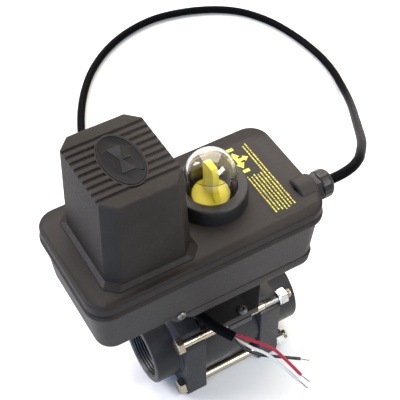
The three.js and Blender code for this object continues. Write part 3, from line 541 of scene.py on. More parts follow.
# A polygon with every corner rounded to a radius
def roundedPolygon(points, radius, steps=3):
    rounded = []
    count = len(points)
    for i, corner in enumerate(points):
        corner = Vector(corner)
        before = (Vector(points[i - 1]) - corner).normalized()
        after = (Vector(points[(i + 1) % count]) - corner).normalized()
        half = before.angle(after) / 2
        reach = radius / math.tan(half)
        centre = corner + (before + after).normalized() * (radius / math.sin(half))
        start = corner + before * reach - centre
        end = corner + after * reach - centre
        for step in range(steps + 1):
            rounded.append(tuple(centre + start.slerp(end, step / steps)))
    return rounded


def octagon(halfX, halfY, cornerX, cornerY, z, centreX=0.0, radius=1.5):
    flat = [
        (centreX + halfX, -halfY + cornerY),
        (centreX + halfX, halfY - cornerY),
        (centreX + halfX - cornerX, halfY),
        (centreX - halfX + cornerX, halfY),
        (centreX - halfX, halfY - cornerY),
        (centreX - halfX, -halfY + cornerY),
        (centreX - halfX + cornerX, -halfY),
        (centreX + halfX - cornerX, -halfY),
    ]
    return [(x, y, z) for x, y in roundedPolygon(flat, radius)]


def oval(halfX, halfY, z, centreX, sides=72):
    turns = [2 * math.pi * i / sides for i in range(sides)]
    return [(centreX + halfX * math.cos(a), halfY * math.sin(a), z) for a in turns]


# Rings that round off an edge; inset is how far in the outline has moved at each one.
def filletSteps(radius, steps=4):
    angles = [math.pi / 2 * i / steps for i in range(steps + 1)]
    return [(radius * (1 - math.sin(a)), radius * (1 - math.cos(a))) for a in angles]


def bottomFillet(ringAt, z, radius, steps=4):
    return [ringAt(z + rise, inset) for inset, rise in filletSteps(radius, steps)]


def topFillet(ringAt, z, radius, steps=4):
    return [ringAt(z - rise, inset) for inset, rise in reversed(filletSteps(radius, steps))]


# Copies of a template at points: a node tree with named inputs
def scatterTree(name):
    tree = bpy.data.node_groups.new(name, "GeometryNodeTree")
    tree.interface.new_socket("Geometry", in_out="INPUT", socket_type="NodeSocketGeometry")
    for label, kind in (("Template", "Object"), ("Turn", "Rotation"), ("Size", "Float"), ("Material", "Material")):
        tree.interface.new_socket(label, in_out="INPUT", socket_type="NodeSocket" + kind)
    tree.interface.new_socket("Geometry", in_out="OUTPUT", socket_type="NodeSocketGeometry")
    start = tree.nodes.new("NodeGroupInput")
    info = tree.nodes.new("GeometryNodeObjectInfo")
    info.transform_space = "ORIGINAL"
    copies = tree.nodes.new("GeometryNodeInstanceOnPoints")
    real = tree.nodes.new("GeometryNodeRealizeInstances")
    skin = tree.nodes.new("GeometryNodeSetMaterial")
    end = tree.nodes.new("NodeGroupOutput")
    for source, output, target, socket in (
        (start, "Geometry", copies, "Points"),
        (start, "Template", info, "Object"),
        (info, "Geometry", copies, "Instance"),
        (start, "Turn", copies, "Rotation"),
        (start, "Size", copies, "Scale"),
        (copies, "Instances", real, "Geometry"),
        (real, "Geometry", skin, "Geometry"),
        (start, "Material", skin, "Material"),
        (skin, "Geometry", end, "Geometry"),
    ):
        tree.links.new(source.outputs[output], target.inputs[socket])
    return tree


scatter = scatterTree("copies at points")


def setInput(step, label, value):
    for item in step.node_group.interface.items_tree:
        if item.item_type == "SOCKET" and item.in_out == "INPUT" and item.name == label:
            step[item.identifier] = value


def copiesAt(name, template, points, look, turn=(0.0, 0.0, 0.0)):
    mesh = bpy.data.meshes.new(name)
    mesh.from_pydata([Vector(point) * mm for point in points], [], [])
    piece = newItem(name, mesh)
    step = piece.modifiers.new("copies", "NODES")
    step.node_group = scatter
    setInput(step, "Template", template)
    setInput(step, "Turn", turn)
    setInput(step, "Size", 1.0)
    setInput(step, "Material", looks[look])
    settle(piece)
    drop(template)
    return piece


# Power cable and its three wires

cable = {
    "diameter": 8.2,
    "wireDiameter": 2.6,
    "strandDiameter": 0.42,
    "strandCount": 7,
    "strandTwist": 2.6,
    "strandFlare": 0.5,
}

cableRoute = [
    (105, -24.5, 182), (117, -24.5, 182), (129, -23.9, 181.8), (140.2, -20.6, 180.2),
    (151, -13.7, 176.3), (161.5, -3.2, 168.6), (174, 10.5, 157), (192, 32, 137),
    (221, 70.5, 103.2), (250, 109.5, 69.4), (273, 141, 43.2), (290, 166.5, 24.5),
    (302, 188, 12.6), (310.5, 208.5, 6.4), (316.5, 231, 4.4), (318.5, 262, 4.3),
    (313, 306, 4.3), (301, 343, 4.3), (280, 374, 4.3), (245, 397, 4.3),
    (195, 410, 4.3), (154, 405, 4.3), (120, 390, 4.3), (88, 365, 4.3),
    (61, 331, 4.3), (41, 294, 4.3), (27, 255, 4.3), (17, 215, 4.3),
    (10, 180, 5.6), (5, 152, 15), (1, 130, 34), (-2, 111, 57),
    (-4, 93, 78), (-5, 75, 92), (-6, 56, 98.4), (-6, 30, 99.7),
    (-6, -6, 99.7), (-4.5, -30, 99.6), (0.5, -46.5, 98.6), (9.5, -60.5, 95),
]
wireRoutes = {
    "red": [
        (11.4, -60.3, 96.3), (15.2, -64.6, 95.6), (23, -72.4, 93.2),
        (31.8, -82.7, 90), (36.4, -94.7, 86), (40.8, -108.4, 81),
    ],
    "white": [
        (9.9, -60.3, 92.8), (12.9, -65.2, 91.8), (18.2, -72.9, 89.8),
        (26.4, -81.6, 86), (32.7, -95, 81), (38.8, -108.1, 75),
    ],
    "black": [
        (8.1, -62.1, 95.6), (9.9, -66.6, 93.4), (14, -72.4, 89.4),
        (21.5, -78.2, 84.8), (35.6, -84.6, 79), (51.2, -92.2, 74),
    ],
}
wireTips = {"red": (44.4, -115.3, 78), "white": (42.2, -116.4, 72), "black": (57.7, -96.3, 72)}


# Points along a smooth line through a route, close together
def smoothLine(route, gap=2.5):
    points = [Vector(point) for point in route]
    points = [2 * points[0] - points[1]] + points + [2 * points[-1] - points[-2]]
    line = []
    for a, b, c, d in zip(points, points[1:], points[2:], points[3:]):
        knots = [0.0]
        for first, second in ((a, b), (b, c), (c, d)):
            knots.append(knots[-1] + math.sqrt((second - first).length))
        count = max(2, round((c - b).length / gap))
        for i in range(count):
            t = knots[1] + (knots[2] - knots[1]) * i / count
            mix = lambda p, q, low, high: p.lerp(q, (t - low) / (high - low))
            between = mix(b, c, knots[1], knots[2])
            lower = mix(mix(a, b, knots[0], knots[1]), between, knots[0], knots[2])
            upper = mix(between, mix(c, d, knots[2], knots[3]), knots[1], knots[3])
            line.append(mix(lower, upper, knots[1], knots[2]))
    line.append(points[-2])
    return line


def lineLength(line):
    return sum((b - a).length for a, b in zip(line, line[1:]))


def cordCurve(name, line, diameter, sides=5):
    data = bpy.data.curves.new(name, "CURVE")
    data.dimensions = "3D"
    data.bevel_depth = diameter / 2 * mm
    data.bevel_resolution = sides
    data.use_fill_caps = True
    spline = data.splines.new("POLY")
    spline.points.add(len(line) - 1)
    for point, position in zip(spline.points, line):
        point.co = (*(position * mm), 1)
    spline.use_smooth = True
    return newItem(name, data)


# The bared end of a wire: a few strands twisted round each other
def strandBundle(name, start, end):
    bm = bmesh.new()
    start, end = Vector(start), Vector(end)
    aim = (end - start).normalized()
    side = aim.cross(Vector((0, 0, 1))).normalized()
    up = side.cross(aim)
    radius = cable["strandDiameter"] / 2
    steps, sides = 16, 6
    for strand in range(cable["strandCount"]):
        first = 2 * math.pi * strand / (cable["strandCount"] - 1)
        spread = 0.0 if strand == cable["strandCount"] - 1 else radius * 2.0
        rings = []
        for step in range(steps + 1):
            share = step / steps
            angle = first + share * cable["strandTwist"]
            flare = spread * (1 + cable["strandFlare"] * share * share)
            centre = start.lerp(end, share * (0.94 + 0.06 * math.cos(strand)))
            centre += (side * math.cos(angle) + up * math.sin(angle)) * flare
            turns = [2 * math.pi * k / sides for k in range(sides)]
            rings.append([centre + (side * math.cos(t) + up * math.sin(t)) * radius for t in turns])
        loft(bm, rings)
    return newObject(name, bm, 60)


def makeCords():
    line = smoothLine(cableRoute)
    cord = cordCurve("powerCable", line, cable["diameter"])
    place(cord, "sheath", "housing", "sheath", "power_cable")
    print("cable length", round(lineLength(line)), "mm")
    for color, route in wireRoutes.items():
        line = smoothLine(route, 1.5)
        wire = cordCurve(color + "Wire", line, cable["wireDiameter"], 4)
        place(wire, color, "housing", "wire_" + color, "wire_" + color)
        strands = strandBundle(color + "Strands", line[-1], wireTips[color])
        place(strands, "copper", "housing", "stainless")


makeCords()
print("cords ready")


# Case: tray, gasket, lid and their screws

case = {
    "corner": 17.0,
    "wall": 3.0,
    "overhang": 2.5,
    "taper": 0.095,
    "shallowFillet": 5.0,
    "deepFillet": 5.0,
    "stepX": -20.0,
    "stepSlope": 1.05,
    "stepCorner": 9,
    "lidWall": 3.0,
    "lugRadius": 7,
    "shaftHole": 6.4,
    "screwHole": 2.3,
    "counterbore": 5,
    "glandHole": 12.8,
    "motorHole": (27.7, 33.1, 8),
}
trayTop = rimBottom - 1.5


def trayInset(z):
    return case["overhang"] + (trayTop - min(z, trayTop)) * case["taper"]


def trayRing(z, inset=0.0):
    shrink = trayInset(z) + inset
    corner = max(case["corner"] - shrink * 0.6, 4)
    return roundedRing(halfLength - shrink, halfWidth - shrink, corner, z)


def deepRing(z, inset=0.0):
    shrink = trayInset(z) + inset
    left = case["stepX"] - (z - deepBottom) * case["stepSlope"] + inset
    right = halfLength - shrink
    return roundedRing((right - left) / 2, halfWidth - shrink, case["stepCorner"], z, (right + left) / 2)


def caseBand(inset, z):
    return roundedRing(halfLength - inset, halfWidth - inset, case["corner"] - inset * 0.9, z)


def glandHole():
    return rodPiece("glandHole", "x", halfLength - 19, halfLength + 2, case["glandHole"], (glandY, glandZ))


def makeTray():
    wall = case["wall"]
    shallowSkin = bottomFillet(trayRing, shallowBottom, case["shallowFillet"])
    tray = loftPiece("trayShell", shallowSkin + [trayRing(rimBottom + 1)])
    deepSkin = bottomFillet(deepRing, deepBottom, case["deepFillet"])
    deep = loftPiece("deepShell", deepSkin + [deepRing(shallowBottom + 2.5)])
    bead = [(1.6, -0.6), (0.55, -0.25), (0.12, 0.3), (0.0, 1.0),
            (0.0, 2.6), (0.12, 3.3), (0.5, 3.95), (1.2, rimHeight)]
    rim = loftPiece("rim", [caseBand(inset, rimBottom + rise) for inset, rise in bead])
    foot, head, radius = shallowBottom - 4, shallowBottom + 9, case["lugRadius"]
    lugProfile = [(0, foot), (radius - 0.8, foot), (radius, shallowBottom - 3.2), (radius, head), (0, head)]
    lug = turnedPiece("lug", lugProfile, "z", (screwSpot.x, -halfWidth + 13, 0), 32)
    join(tray, deep, rim, lug)
    cavity = loftPiece("cavity", [trayRing(z, wall) for z in (shallowBottom + wall, rimBottom + 8)])
    deepCavity = loftPiece("deepCavity", [deepRing(z, wall) for z in (deepBottom + wall, shallowBottom + 2 + wall)])
    holes = [rodPiece("shaftHole", "z", deepBottom - 2, deepBottom + 12, case["shaftHole"], (stemX, 0))]
    for x, y, floor in screwPlaces:
        holes.append(rodPiece("counterbore", "z", floor - 1, floor + 4, case["counterbore"], (x, y), 32))
        holes.append(rodPiece("screwHole", "z", floor, floor + 8, case["screwHole"], (x, y), 20))
    cut(tray, cavity, deepCavity, *holes, glandHole())
    softenEdges(tray, 0.35, 2, 42)
    place(tray, "case", "housing", "case", "base_tray")


screwSpot = middle("seal_screw")
screwPlaces = []
for index in range(1, 5):
    spot = middle(f"case_screw_{index}")
    screwPlaces.append((spot.x, spot.y, shallowBottom if spot.x < 0 else deepBottom))


def makeLid():
    steps = [(1.3, lidBottom), (1.0, lidBottom + 0.2), (0.9, lidBottom + 0.5), (0.9, lidTop - 2.6),
             (0.98, lidTop - 1.9), (1.3, lidTop - 1.15), (1.8, lidTop - 0.55), (2.5, lidTop - 0.15), (3.3, lidTop)]
    lid = loftPiece("lidShell", [caseBand(inset, z) for inset, z in steps])
    inside = loftPiece("lidInside", [caseBand(4.9, lidBottom - 1), caseBand(7.4, lidTop - case["lidWall"])])
    cut(lid, inside)
    bossProfile = [(0, 83.5), (11.6, 83.5), (12.5, 84.4), (12.5, 97.6), (11.9, 98.3), (0, 98.3)]
    boss = turnedPiece("boss", bossProfile, "x", glandAxis, 56)
    join(lid, boss)
    halfX, halfY, corner = case["motorHole"]
    motorRings = [octagon(halfX, halfY, corner, corner, z, motorX) for z in (lidTop - 8, lidTop + 2)]
    motorHole = loftPiece("motorHole", motorRings)
    shaftHole = rodPiece("shaftHole", "z", lidTop - 8, lidTop + 2, case["shaftHole"], (stemX, 0))
    bossHole = rodPiece("bossHole", "x", halfLength - 20, halfLength + 2, 8.3, (glandY, glandZ))
    cut(lid, motorHole, shaftHole, bossHole)
    softenEdges(lid, 0.3, 2, 45)
    place(lid, "case", "housing", "case", "lid")


def makeGasket():
    low, high = box("lid_gasket")
    steps = ((2.4, low.z), (2.2, low.z + 0.4), (2.2, high.z - 0.4), (2.4, high.z))
    gasket = loftPiece("lidGasket", [caseBand(inset, z) for inset, z in steps])
    inside = loftPiece("inside", [caseBand(3.8, low.z - 1), caseBand(3.8, high.z + 1)])
    cut(gasket, inside, glandHole())
    place(gasket, "rubber", "housing", "rubber", "lid_gasket")


# A pan-head screw along -Z with its head's face at z = 0; the drive recess is a cross or a hexagon.
def panScrew(name, headRadius, headHeight, shankRadius, length, recess="hex"):
    dome = [(0, 0), (headRadius * 0.55, -0.05 * headHeight), (headRadius * 0.86, -0.28 * headHeight),
            (headRadius, -0.7 * headHeight), (headRadius, -headHeight), (shankRadius, -headHeight)]
    thread = []
    pitch = 0.9
    for turn in range(int((length - headHeight) / pitch)):
        z = -headHeight - turn * pitch
        thread += [(shankRadius, z - 0.15), (shankRadius * 0.84, z - pitch / 2)]
    screw = turnedPiece(name, dome + thread + [(0, -length)], "z", origin, 28)
    if recess == "hex":
        return cut(screw, rodPiece("tool", "z", -headHeight * 0.6, 1, headRadius * 0.42, (0, 0), 6))
    long, half, floor = headRadius * 0.62, 0.42, -headHeight * 0.5
    bars = [blockPiece("bar", (-x, -y, floor), (x, y, 1)) for x, y in ((long, half), (half, long))]
    return cut(screw, *bars)


def makeCaseScrews():
    template = panScrew("caseScrew", 4.4, 3.0, 2.0, 26.0)
    points = [(x, y, floor + 0.4) for x, y, floor in screwPlaces]
    screws = copiesAt("caseScrews", template, points, "bolt", (math.pi, 0, 0))
    place(screws, "bolt", "housing", "stainless", *[f"case_screw_{i}" for i in range(1, 5)])
    template = panScrew("sealScrew", 3.6, 1.6, 2.0, 4.4, "cross")
    low = box("seal_screw")[0]
    spot = (screwSpot.x, low.y, screwSpot.z)
    screw = copiesAt("sealScrewPiece", template, [spot], "dullSteel", (math.pi / 2, 0, 0))
    place(screw, "dullSteel", "housing", "stainless", "seal_screw")


makeTray()
makeLid()
makeGasket()
makeCaseScrews()
print("case ready")


# Motor cover and its badge

cover = {
    "length": 69.4,
    "width": 80.2,
    "draftX": 3.1,
    "draftY": 1.4,
    "chamfer": 9.4,
    "foot": 5.0,
    "wall": 3.0,
    "ribCount": 9,
    "ribPitch": 6.4,
    "ribWidth": 3.3,
    "ribDepth": 1.3,
    "topRadius": 1.6,
    "badge": (14.0, 24.6),
    "badgeBorder": 1.1,
}


def coverRing(z, extra=0.0, radius=1.4):
    rise = (z - fittingBase) / (coverTop - fittingBase)
    halfX = cover["length"] / 2 - cover["draftX"] * rise + extra
    halfY = cover["width"] / 2 - cover["draftY"] * rise + extra
    return octagon(halfX, halfY, cover["chamfer"], cover["chamfer"], z, motorX, radius)


# Bars that press the grooves into the top: one bar copied along Y
def ribBars():
    reach = cover["length"]
    half = cover["ribWidth"] / 2
    floor = -cover["ribDepth"]
    profile = [(-half - 0.9, 1.2), (-half, 0), (-half + 0.5, floor),
               (half - 0.5, floor), (half, 0), (half + 0.9, 1.2)]
    bm = bmesh.new()
    loft(bm, [[(x, y, z) for y, z in profile] for x in (-reach, reach)])
    bar = newObject("bar", bm)
    first = -(cover["ribCount"] - 1) / 2 * cover["ribPitch"]
    points = [(motorX, first + i * cover["ribPitch"], coverTop) for i in range(cover["ribCount"])]
    return copiesAt("ribBars", bar, points, "cover")


def ovalPiece(name, halfX, halfY, low, high):
    return loftPiece(name, [oval(halfX, halfY, z, motorX) for z in (low, high)])


def makeCover():
    ringAt = lambda z, inset: coverRing(z, -inset)
    body = loftPiece("coverShell", [coverRing(fittingBase)] + topFillet(ringAt, coverTop, cover["topRadius"]))
    reach = cover["foot"]
    footSteps = [(0.0, reach - 0.25), (0.2, reach), (0.75, reach), (1.0, reach - 0.2),
                 (3.5, 0.75), (3.9, 0.35), (4.6, 0.05)]
    foot = loftPiece("coverFoot", [coverRing(fittingBase + rise, extra, 3.0) for rise, extra in footSteps])
    join(body, foot)
    halfX, halfY = cover["badge"]
    bars = ribBars()
    cut(bars, ovalPiece("platform", halfX + 1.3, halfY + 1.3, coverTop - 5, coverTop + 4))
    wall = cover["wall"]
    cavity = loftPiece("coverCavity", [coverRing(z, -wall) for z in (fittingBase - 1, coverTop - wall - 1)])
    pocket = ovalPiece("pocket", halfX + touchGap, halfY + touchGap, coverTop - 1.1, coverTop + 3)
    cut(body, bars, cavity, pocket)
    softenEdges(body, 0.35, 2, 34)
    place(body, "cover", "housing", "case", "motor_cover")


def flatShape(bm, outline, low, high, centreX=0.0, centreY=0.0):
    loft(bm, [[(centreX + x, centreY + y, z) for x, y in outline] for z in (low, high)])


# The drawing symbol for a valve, with a short stem
valveSymbol = [(-5, -12), (5, -12), (1, -0.8), (7, -0.8), (7, 0.8), (1, 0.8), (5, 12), (-5, 12), (-1, 0)]


def makeBadge():
    halfX, halfY = cover["badge"]
    face = coverTop - 0.1
    low = box("cover_badge")[0].z
    plate = ovalPiece("badgePlate", halfX, halfY, low, face)
    bm = bmesh.new()
    flatShape(bm, valveSymbol, face - 0.3, face + 0.5, motorX)
    symbol = newObject("symbol", bm)
    border = ovalPiece("border", halfX, halfY, face - 0.3, face + 0.4)
    width = cover["badgeBorder"]
    cut(border, ovalPiece("inside", halfX - width, halfY - width, face - 1, face + 2))
    join(plate, symbol, border)
    softenEdges(plate, 0.15, 2, 40)
    place(plate, "badge", "housing", "drive_trim", "cover_badge")


makeCover()
makeBadge()
print("cover ready")


# Collar, dome and indicator

indicator = {
    "domeRadius": 19.0,
    "domeWall": 1.8,
    "domeFlange": 21.6,
    "domeStraight": 25.0,
    "bead": 0.35,
    "seamHeight": 5.6,
    "seamThickness": 0.24,
    "discRadius": 14.9,
    "bladeWidth": 5.2,
}


def makeCollar():
    low, high = box("dome_collar")
    outer = (high.x - low.x) / 2
    lip = indicator["domeRadius"] + touchGap
    seat = indicator["domeFlange"] + touchGap
    top = high.z
    profile = [(seat, low.z), (outer - 0.3, low.z), (outer, low.z + 0.3), (outer, top - 1.6),
               (outer - 0.25, top - 0.8), (outer - 0.8, top - 0.2), (outer - 1.6, top), (lip + 1.4, top),
               (lip + 0.6, top - 0.2), (lip, top - 0.9), (lip, low.z + 6.2), (seat, low.z + 6.2)]
    collar = turnedPiece("collarRing", profile, "z", stemAxis, 96, True)
    place(collar, "trim", "housing", "drive_trim", "dome_collar")


def makeDome():
    low = box("indicator_dome")[0].z
    radius, wall = indicator["domeRadius"], indicator["domeWall"]
    spring = low + indicator["domeStraight"]
    inner = radius - wall
    arcs = [math.pi / 2 * i / 16 for i in range(17)]
    bow = lambda r, angles: [(r * math.cos(a), spring + r * math.sin(a)) for a in angles]
    outside = bow(radius, arcs[1:-1]) + [(0, spring + radius)]
    inside = [(0, spring + inner)] + bow(inner, reversed(arcs[:-1]))
    bead, flange = indicator["bead"], indicator["domeFlange"]
    skirt = [(inner, low), (flange, low), (flange, low + 3.2), (radius + 0.2, low + 3.4), (radius, low + 3.8),
             (radius, spring - 0.8), (radius + bead, spring - 0.5), (radius + bead, spring + 0.4)]
    dome = turnedPiece("domeShell", inside + skirt + outside, "z", stemAxis, 80)
    place(dome, "dome", "housing", "dome", "indicator_dome")
    height = indicator["seamHeight"]
    reach = math.sqrt(radius ** 2 - height ** 2) + 0.05
    thick = indicator["seamThickness"]
    turns = [math.pi / 4 * i for i in range(8)]
    loop = [(reach + thick * math.cos(t), spring + height + thick * math.sin(t)) for t in turns]
    seam = turnedPiece("domeSeam", loop, "z", stemAxis, 96, True)
    place(seam, "trim", "housing", "drive_trim")
    sealProfile = [(18, low - 2.4), (21.5, low - 2.4), (21.5, low - 0.4), (18, low - 0.4)]
    seal = turnedPiece("domeSeal", sealProfile, "z", stemAxis, 64, True)
    place(seal, "rubber", "housing", "rubber", "dome_seal")


def makeIndicator():
    low, high = box("indicator_disc")
    radius = indicator["discRadius"]
    top = low.z + 3.2
    profile = [(0, low.z), (radius - 1, low.z), (radius, low.z + 0.8), (radius, top - 0.7),
               (radius - 0.3, top - 0.2), (radius - 1, top), (0, top)]
    disc = turnedPiece("discBody", profile, "z", stemAxis, 80)
    side = [(-radius + 2, top - 1), (-9.5, top + 1.6), (-7.4, top + 6), (-6.6, top + 12), (-6.9, high.z - 4),
            (-6.2, high.z - 1.2), (-4.6, high.z), (4.4, high.z), (6.6, high.z - 1.0), (7.6, high.z - 4),
            (7.0, top + 12), (7.8, top + 6), (9.8, top + 1.6), (radius - 2, top - 1)]
    half = indicator["bladeWidth"] / 2
    bm = bmesh.new()
    loft(bm, [[(stemX + x, y, z) for y, z in side] for x in (-half, half)])
    blade = newObject("blade", bm)
    join(disc, blade)
    cut(disc, rodPiece("socket", "z", low.z - 1, low.z + 2, 5.3, (stemX, 0), 6))
    softenEdges(disc, 0.7, 3, 30)
    place(disc, "yellow", "turn", "indicator", "indicator_disc")


makeCollar()
makeDome()
makeIndicator()
print("indicator ready")


# Label: a film with printed lines, drawn as rows of dashes, and a flow sign

label = {
    "filmBase": 0.02,
    "filmFace": 0.14,
    "rows": 7,
    "shortRows": 5,
    "rowStart": -37.5,
    "rowEnds": (4.0, 35.0),
    "firstRow": 58.6,
    "rowPitch": 2.75,
    "lineWidth": 0.95,
    "inkHeight": 0.05,
    "seed": 11,
}


def makeLabel():
    low, high = box("rating_label")
    centre = (low + high) / 2
    halfX, halfY = (high.x - low.x) / 2, (high.y - low.y) / 2
    low.z, high.z = lidTop + label["filmBase"], lidTop + label["filmFace"]
    outline = [(x, y + centre.y) for x, y, _ in roundedRing(halfX, halfY, 2, 0.0, centre.x)]
    film = loftPiece("labelFilm", [[(x, y, z) for x, y in outline] for z in (low.z, high.z)])
    place(film, "label", "housing", "label", "rating_label")
    bm = bmesh.new()
    low, top = high.z - 0.02, high.z + label["inkHeight"]
    rng = random.Random(label["seed"])

    def bar(x, y, long, wide):
        flatShape(bm, [(x, y), (x + wide, y), (x + wide, y + long), (x, y + long)], low, top)

    for row in range(label["rows"]):
        x = label["firstRow"] + row * label["rowPitch"]
        y = label["rowStart"] + rng.uniform(0, 2.5)
        stop = label["rowEnds"][0 if row < label["shortRows"] else 1]
        while y < stop - 1:
            long = rng.uniform(0.7, 2.8)
            wide = label["lineWidth"] * rng.uniform(0.8, 1.15)
            bar(x, y, min(long, stop - y), wide)
            y += long + rng.uniform(0.35, 0.95)
    flow = [(0, -9), (3.6, -3.4), (1.5, -3.4), (1.5, 3.4), (3.6, 3.4),
            (0, 9), (-3.6, 3.4), (-1.5, 3.4), (-1.5, -3.4), (-3.6, -3.4)]
    branch = [(0, -1.4), (3.4, -1.4), (3.4, -3.2), (7.4, 0), (3.4, 3.2), (3.4, 1.4), (0, 1.4)]
    flatShape(bm, flow, low, top, 61.5, 22)
    flatShape(bm, branch, low, top, 63.4, 22)
    for y in (8.5, 33.0):
        bar(label["firstRow"], y, 3.0, 6.0)
    ink = newObject("labelInk", bm)
    place(ink, "print", "housing", "indicator")


makeLabel()
print("label ready")


# Cable gland

gland = {
    "flutes": 18,
    "fluteDepth": 0.35,
    "hexCorner": 11.6,
    "threadRadius": 8.0,
    "threadRoot": 7.4,
    "threadPitch": 1.5,
    "bore": 4.7,
    "nutRadius": 11.4,
}


def makeGland():
    low, high = box("gland_body")
    face = high.x
    hexBody = rodPiece("glandHex", "x", halfLength + 0.2, face, gland["hexCorner"], (glandY, glandZ), 6)
    roundOff = [(10.4, face + 1), (13.5, face + 1), (13.5, face - 1.4)]
    cut(hexBody, turnedPiece("round", roundOff, "x", glandAxis, 48, True))
    pitch, crest, root = gland["threadPitch"], gland["threadRadius"], gland["threadRoot"]
    thread = [(0, low.x), (root, low.x)]
    for turn in range(7):
        x = low.x + 0.3 + turn * pitch
        thread += [(root, x), (crest, x + pitch * 0.4), (crest, x + pitch * 0.55)]
    thread += [(root, halfLength + 0.1), (root, halfLength + 0.4), (0, halfLength + 0.4)]
    join(hexBody, turnedPiece("glandThread", thread, "x", glandAxis, 40))
    cut(hexBody, rodPiece("bore", "x", low.x - 1, face + 1, gland["bore"], (glandY, glandZ), 32))
    softenEdges(hexBody, 0.3, 2, 50)
    place(hexBody, "trim", "housing", "drive_trim", "gland_body")
    start, end = box("gland_nut")[0].x, box("gland_nut")[1].x
    radius = gland["nutRadius"]
    bore = cable["diameter"] / 2 + 0.4
    profile = [(bore + 3.2, start), (radius - 0.5, start), (radius, start + 0.6), (radius, start + 2.0),
               (radius, start + 4.0), (radius, start + 6.2), (radius - 0.25, start + 7.3),
               (radius - 1.0, start + 8.7), (radius - 2.2, start + 9.9), (radius - 3.8, start + 10.8),
               (radius - 5.4, end), (bore + 0.3, end),
               (bore, end - 0.4), (bore, end - 1.5), (bore + 3.2, end - 1.5)]

    def flute(angle, along, r):
        if r < radius - 0.3 or along < start + 1.5 or along > start + 7:
            return 0.0
        return -gland["fluteDepth"] * (0.5 - 0.5 * math.cos(angle * gland["flutes"]))

    nut = turnedPiece("glandNutPiece", profile, "x", glandAxis, 144, True, flute)
    place(nut, "trim", "housing", "drive_trim", "gland_nut")


makeGland()
print("gland ready")


# Mounting plate, its screws and the neck

mounting = {
    "edge": 0.9,
    "cutX": 20,
    "cutY": 27,
    "stemHole": 8.4,
    "screwHole": 2.3,
    "neckWall": 7,
}


def makeMounting():
    low, high = box("mounting_plate")
    halfX, halfY = (high.x - low.x) / 2, (high.y - low.y) / 2
    edge, cutX, cutY = mounting["edge"], mounting["cutX"], mounting["cutY"]
    ringAt = lambda z, inset: octagon(halfX - inset, halfY - inset, cutX, cutY, z, stemX, 2.5)
    plate = loftPiece("plateBody", bottomFillet(ringAt, low.z, edge, 3) + topFillet(ringAt, high.z, edge, 3))
    screwX, screwY = middle("plate_screw_rear").x, middle("plate_screw_rear").y
    span = (low.z - 1, high.z + 1)
    holes = [rodPiece("hole", "z", *span, mounting["stemHole"], (stemX, 0))]
    holes += [rodPiece("hole", "z", *span, mounting["screwHole"], (screwX, y), 24) for y in (-screwY, screwY)]
    cut(plate, *holes)
    softenEdges(plate, 0.3, 2, 50)
    place(plate, "valve", "housing", "valve_plastic", "mounting_plate")
    top = box("plate_screw_rear")[1].z
    template = panScrew("plateScrew", 4.2, 2.7, 2.0, top - box("plate_screw_rear")[0].z)
    screws = copiesAt("plateScrews", template, [(screwX, -screwY, top), (screwX, screwY, top)], "dullSteel")
    place(screws, "dullSteel", "housing", "stainless", "plate_screw_front", "plate_screw_rear")
    low, high = box("mounting_neck")
    outer = (high.x - low.x) / 2
    inner = outer - mounting["neckWall"]
    profile = [(inner, low.z), (outer - 0.6, low.z), (outer, low.z + 0.6), (outer, high.z - 0.6),
               (outer - 0.6, high.z), (inner, high.z)]
    neck = turnedPiece("neckTube", profile, "z", stemAxis, 72, True)
    place(neck, "trim", "housing", "drive_trim", "mounting_neck")


makeMounting()
print("mounting ready")


# Valve: end caps with threaded ports, body, bolts, seats and ball

valve = {
    "portOuter": 29.8,
    "threadRadius": 23.0,
    "threadDepth": 0.9,
    "threadPitch": 2.31,
    "waterway": 18.6,
    "ballBore": 16.0,
    "ballRadius": 26.5,
    "flangeHalf": 37.0,
    "flangeCorner": 10.0,
    "flangeEdge": 1.2,
    "flangeThickness": 18.6,
    "boltSpot": 30.55,
    "boltHole": 4.3,
    "boltRadius": 3.98,
    "boltPitch": 1.25,
    "nutAcross": 12.6,
    "mouth": 24.6,
    "barrel": 35,
    "chamber": 29,
    "stemHole": 8.4,
    "rearThreadRadius": 18.4,
}


# A screw-threaded plug, to be cut out of a port; its ridge follows a helix.
def threadedPlug(name, axis, at, start, end, radius, sides=48):
    pitch, depth = valve["threadPitch"], valve["threadDepth"]
    direction = 1 if end > start else -1
    length = abs(end - start)
    count = int(length / (pitch / 4))
    bm = bmesh.new()
    rings = []
    for i in range(count + 1):
        along = length * i / count
        ring = []
        for k in range(sides):
            angle = 2 * math.pi * k / sides
            phase = (along / pitch - k / sides) % 1.0
            ridge = 1 - abs(2 * phase - 1)
            fade = min(1.0, max(0.0, (length - 3 - along) / 3))
            reach = radius + depth * min(1.0, ridge * 1.35) * fade
            a, b = reach * math.cos(angle), reach * math.sin(angle)
            ring.append(Vector(onAxis(axis, start + direction * along, a, b)) + Vector(at))
        rings.append(ring)
    loft(bm, rings)
    return newObject(name, bm)


